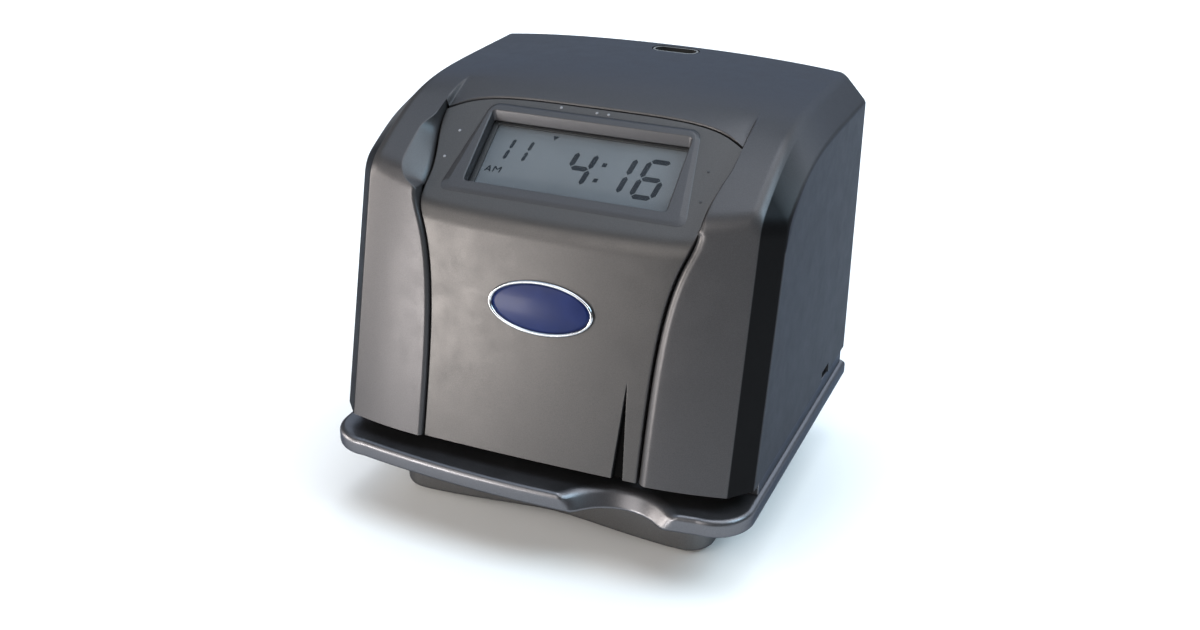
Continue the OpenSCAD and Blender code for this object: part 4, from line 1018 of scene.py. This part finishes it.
badge = {"z": 108.0, "half": (24.0, 11.5), "rim": 1.8, "sink": 1.4, "foot": -0.9, "fieldLow": 0.1, "dome": 0.75,
         "section": ((0.0, -0.9), (0.0, 0.35), (0.2, 0.8), (0.55, 1.1), (0.9, 1.18), (1.25, 1.0), (1.6, 0.6),
                     (1.75, 0.1), (1.75, -0.9))}  # the rim: in from its outside, height


def badgePieces():
    angle = np.radians(np.arange(0, 360, 4.0))
    a, b = badge["half"]

    def oval(draw, n, share=1.0):
        return frontPlace((a - draw) * np.cos(angle) * share, badge["z"], (b - draw) * np.sin(angle) * share,
                          n - badge["sink"])

    rim = makeMesh("badgeRim", ringStack([oval(*row) for row in badge["section"]], closed=True), outward=True)
    settle(rim, "cover", "badge_chrome", "badge_rim")
    # the field rises to its middle as one less the square of the share
    rings = [oval(badge["rim"], badge["foot"])]
    rings += [oval(badge["rim"], badge["fieldLow"] + badge["dome"] * (1 - k * k), k)
              for k in np.linspace(1.0, 0.02, 14)]
    plate = makeMesh("badgePlate", ringStack(rings, caps=True), outward=True)
    settle(plate, "cover", "badge_blue", "badge_plate")


badgePieces()
print("badge done")


# table: an outline with a bowed front and a finger scallop, carried through a rounded edge, and two risers

table = {"half": 97.5, "front": -86.0, "back": 86.0, "corner": 18.0, "bow": 6.0, "bowHalf": 77.5,
         "scallop": (45.5, 50.0, 14.5), "cusp": 3.0, "dish": 5.4,
         "low": 29.0, "top": 37.0, "edge": 2.6, "foot": 1.6, "backInset": 0.8,
         "platen": ((9.95, -53.05, 34.0), (72.05, -40.95, 40.0)), "tongues": (22.0, 60.0),
         "tongue": (2.2, 7.4, 33.6, 40.0),  # half width, half length, bottom and top of the slot
         "riserY": (-52.5, 83.1), "riserEdge": 0.5,
         "riser": ((89.6, 36.9), (95.5, 36.9), (95.5, 43.95), (92.6, 43.95), (92.6, 53.0), (89.6, 53.0))}


def tableFront(x, widen):
    # the front edge as one line across: quarter-round corners, a shallow bow and the scallop blended in
    half, front, corner, bowed = table["half"], table["front"], table["corner"], table["bow"]
    sx, sw, sd = table["scallop"]
    sr = (sw * sw / 4 + sd * sd) / (2 * sd)
    bowR = (table["bowHalf"] ** 2 + bowed ** 2) / (2 * bowed)
    sy = front + bowed * (sx / table["bowHalf"]) ** 2 + sd - sr
    y = np.minimum(front + x * x / (2 * bowR), front + bowed)
    turn = np.clip(np.abs(x) - half + corner, 0, corner)
    y = y + corner - np.sqrt(np.maximum(corner * corner - turn * turn, 0.0))
    hollow = sy + np.sqrt(np.maximum((sr + widen) ** 2 - (x - sx) ** 2, 0.0))
    hollow = np.where(np.abs(x - sx) < sr + widen, hollow, -1e3)  # far in front where the scallop doesn't reach
    return -softMin(-y, -hollow, table["cusp"])


def tableRing(inset, widen, z):
    # closed ring at one height; the front line is moved in by rolling a disc along it
    half, back = table["half"] - inset, table["back"] - min(inset, table["backInset"])
    x = half * np.sin(np.linspace(-math.pi / 2, math.pi / 2, 420))
    t = np.linspace(-inset, inset, 61)[:, None]
    lines = tableFront(np.clip(x + t, -table["half"], table["half"]), widen)
    y = (lines + np.sqrt(np.maximum(inset ** 2 - t ** 2, 0.0))).max(0)
    sideY = np.linspace(back, y[0], 24)[1:-1]
    backX = np.linspace(half, -half, 40)
    sides = [(backX, back), (-half, sideY), (x, y), (half, sideY[::-1])]
    return atHeight(np.concatenate([np.stack(np.broadcast_arrays(*side), -1) for side in sides]), z)


def tablePiece():
    r, k, low, top = table["edge"], table["foot"], table["low"], table["top"]
    lower, upper = np.radians(np.linspace(0, 90, 6)), np.radians(np.linspace(0, 90, 9))
    insets = np.concatenate([k * (1 - np.sin(lower)), r * (1 - np.cos(upper))])
    heights = np.concatenate([low + k * (1 - np.cos(lower)), top - r + r * np.sin(upper)])
    rings = [tableRing(inset, -table["dish"] * (top - z) / (top - low), z) for inset, z in zip(insets, heights)]
    piece = makeMesh("tableTray", ringStack(rings, caps=True), outward=True)
    # pocket for the platen and slots for the stop's tongues
    wide, deep, z0, z1 = table["tongue"]
    slots = [boxPatch((x - wide, -deep, z0), (x + wide, deep, z1)) for x in table["tongues"]]
    cut(piece, [boxPatch(*table["platen"])] + slots)
    crispEdges(piece, 45.0)
    settle(piece, "base", "table_plastic", "base_tray")
    x, z = np.array(table["riser"]).T
    for side, name in ((-1, "riserLeft"), (1, "riserRight")):
        ends = [np.stack(np.broadcast_arrays(side * x, y, z), -1) for y in table["riserY"]]
        riser = makeMesh(name, ringStack(ends, caps=True), outward=True)
        softEdges(riser, table["riserEdge"], 40.0)
        settle(riser, "base", "table_plastic")


tablePiece()
print("table done")


# pedestal: a rounded block with a hollowed front

pedestal = {"half": 75.0, "front": -55.0, "back": 80.0, "corner": 12.0, "hollow": 6.0, "hollowPower": 0.8,
            "low": 2.0, "top": 28.9, "edge": 2.5}


def drawnIn(loop, by):
    # the path moved inwards by a distance, square to itself
    along = unit(np.roll(loop, -1, 0) - np.roll(loop, 1, 0))
    return loop + by * np.stack([-along[:, 1], along[:, 0]], -1)


def pedestalPiece():
    # quarter-round corners, and a front that falls back towards its middle by a power of a smooth step
    front, back, corner, edge = [pedestal[k] for k in ("front", "back", "corner", "edge")]
    inset = pedestal["half"] - corner
    quarter = np.radians(np.linspace(180, 270, 14))
    mirror = np.array([-1.0, 1.0])
    frontLeft = np.stack([-inset + corner * np.cos(quarter), front + corner + corner * np.sin(quarter)], -1)
    x = np.linspace(-inset, inset, 90)[1:-1]
    outwards = smoothStep(np.abs(x), 0.0, inset) ** pedestal["hollowPower"]
    frontRow = np.stack([x, front + pedestal["hollow"] * (1 - outwards)], -1)
    backRight = np.stack([inset - corner * np.cos(quarter), back - corner - corner * np.sin(quarter)], -1)
    loop = np.concatenate([frontLeft, frontRow, frontLeft[::-1] * mirror, backRight, backRight[::-1] * mirror])
    rings = [atHeight(drawnIn(loop, edge * (1 - math.sin(angle))), pedestal["low"] + edge * (1 - math.cos(angle)))
             for angle in np.radians(np.linspace(0, 90, 6))]
    rings.append(atHeight(loop, pedestal["top"]))
    piece = makeMesh("pedestalBlock", ringStack(rings, caps=True), outward=True)
    crispEdges(piece, 45.0)
    settle(piece, "base", "pedestal_plastic", "pedestal")


pedestalPiece()
print("pedestal done")


# stage: pale floor, soft lamps and the camera, in metres

studio = {"floorHalf": 6.0, "floorTones": (0.93, 0.95), "world": (0.86, 0.88, 0.90, 1.0), "worldPower": 0.20}


def floorFinish():
    material, shader, place = startFinish("paleFloor")
    plug(shader, colour=mottled(noise(place, 3.0), (1.0, 1.0, 1.0), *studio["floorTones"]), rough=0.9, mirror=0.0)
    return material


far = studio["floorHalf"]
floorMesh = bpy.data.meshes.new("floor")
floorMesh.from_pydata([(-far, -far, 0), (far, -far, 0), (far, far, 0), (-far, far, 0)], [], [(0, 1, 2, 3)])
floor = bpy.data.objects.new("floor", floorMesh)
scene.collection.objects.link(floor)
floorMesh.materials.append(floorFinish())

# place, aim, size (an angle in degrees for a sun, width and height for a panel), power, tint
lamps = {
    "keyHigh": ((-0.40, -0.80, 0.50), (0.0, 0.0, 0.0), 35.0, 0.85, (1.0, 0.96, 0.90)),
    "fillHigh": ((0.25, 0.12, 0.95), (0.0, 0.0, 0.0), 60.0, 1.75, (0.93, 0.97, 1.0)),
    "keyLow": ((-0.62, -0.89, 0.06), (0.0, -0.05, 0.09), (0.42, 0.30), 7.8, (1.0, 0.95, 0.89)),
    "sideLeft": ((-1.02, -0.36, 0.14), (0.0, -0.05, 0.08), (0.5, 0.4), 8.0, (1.0, 0.93, 0.84)),
    "topCool": ((-0.35, 0.20, 1.25), (0.0, 0.0, 0.15), (1.4, 1.2), 6.0, (0.66, 0.82, 1.0)),
    "rightCool": ((0.80, 0.06, 0.87), (-0.06, -0.03, 0.16), (0.6, 0.5), 5.0, (0.55, 0.83, 1.0)),
    "backCool": ((0.10, 1.40, 0.85), (0.0, 0.0, 0.15), (2.8, 0.9), 17.0, (0.78, 0.89, 1.0)),
}
for lampName, (at, aim, size, power, tint) in lamps.items():
    isSun = isinstance(size, float)
    light = bpy.data.lights.new(lampName, "SUN" if isSun else "AREA")
    if isSun:
        light.angle = math.radians(size)
    else:
        light.shape, light.size, light.size_y = "RECTANGLE", *size
    light.energy, light.color = power, tint
    holder = bpy.data.objects.new(lampName, light)
    scene.collection.objects.link(holder)
    holder.location = at
    holder.visible_camera = False
    holder.rotation_euler = (Vector(aim) - Vector(at)).to_track_quat("-Z", "Y").to_euler()

world = bpy.data.worlds.new("studio")
scene.world = world
world.use_nodes = True
world.node_tree.nodes["Background"].inputs["Color"].default_value = studio["world"]
world.node_tree.nodes["Background"].inputs["Strength"].default_value = studio["worldPower"]
scene.view_settings.view_transform = "Standard"

view = {"at": (0.2310, -0.5510, 0.3578), "right": (0.92116, 0.38904, 0.01107), "up": (-0.17368, 0.38544, 0.90624),
        "back": (0.34829, -0.83671, 0.42262), "lens": 43.38, "sensor": 36.0}
cameraData = bpy.data.cameras.new("camera")
cameraData.lens, cameraData.sensor_width, cameraData.sensor_fit = view["lens"], view["sensor"], "HORIZONTAL"
camera = bpy.data.objects.new("camera", cameraData)
scene.collection.objects.link(camera)
axes = Matrix((view["right"], view["up"], view["back"])).transposed().to_4x4()
camera.matrix_world = Matrix.Translation(view["at"]) @ axes
scene.camera = camera
print("stage done")
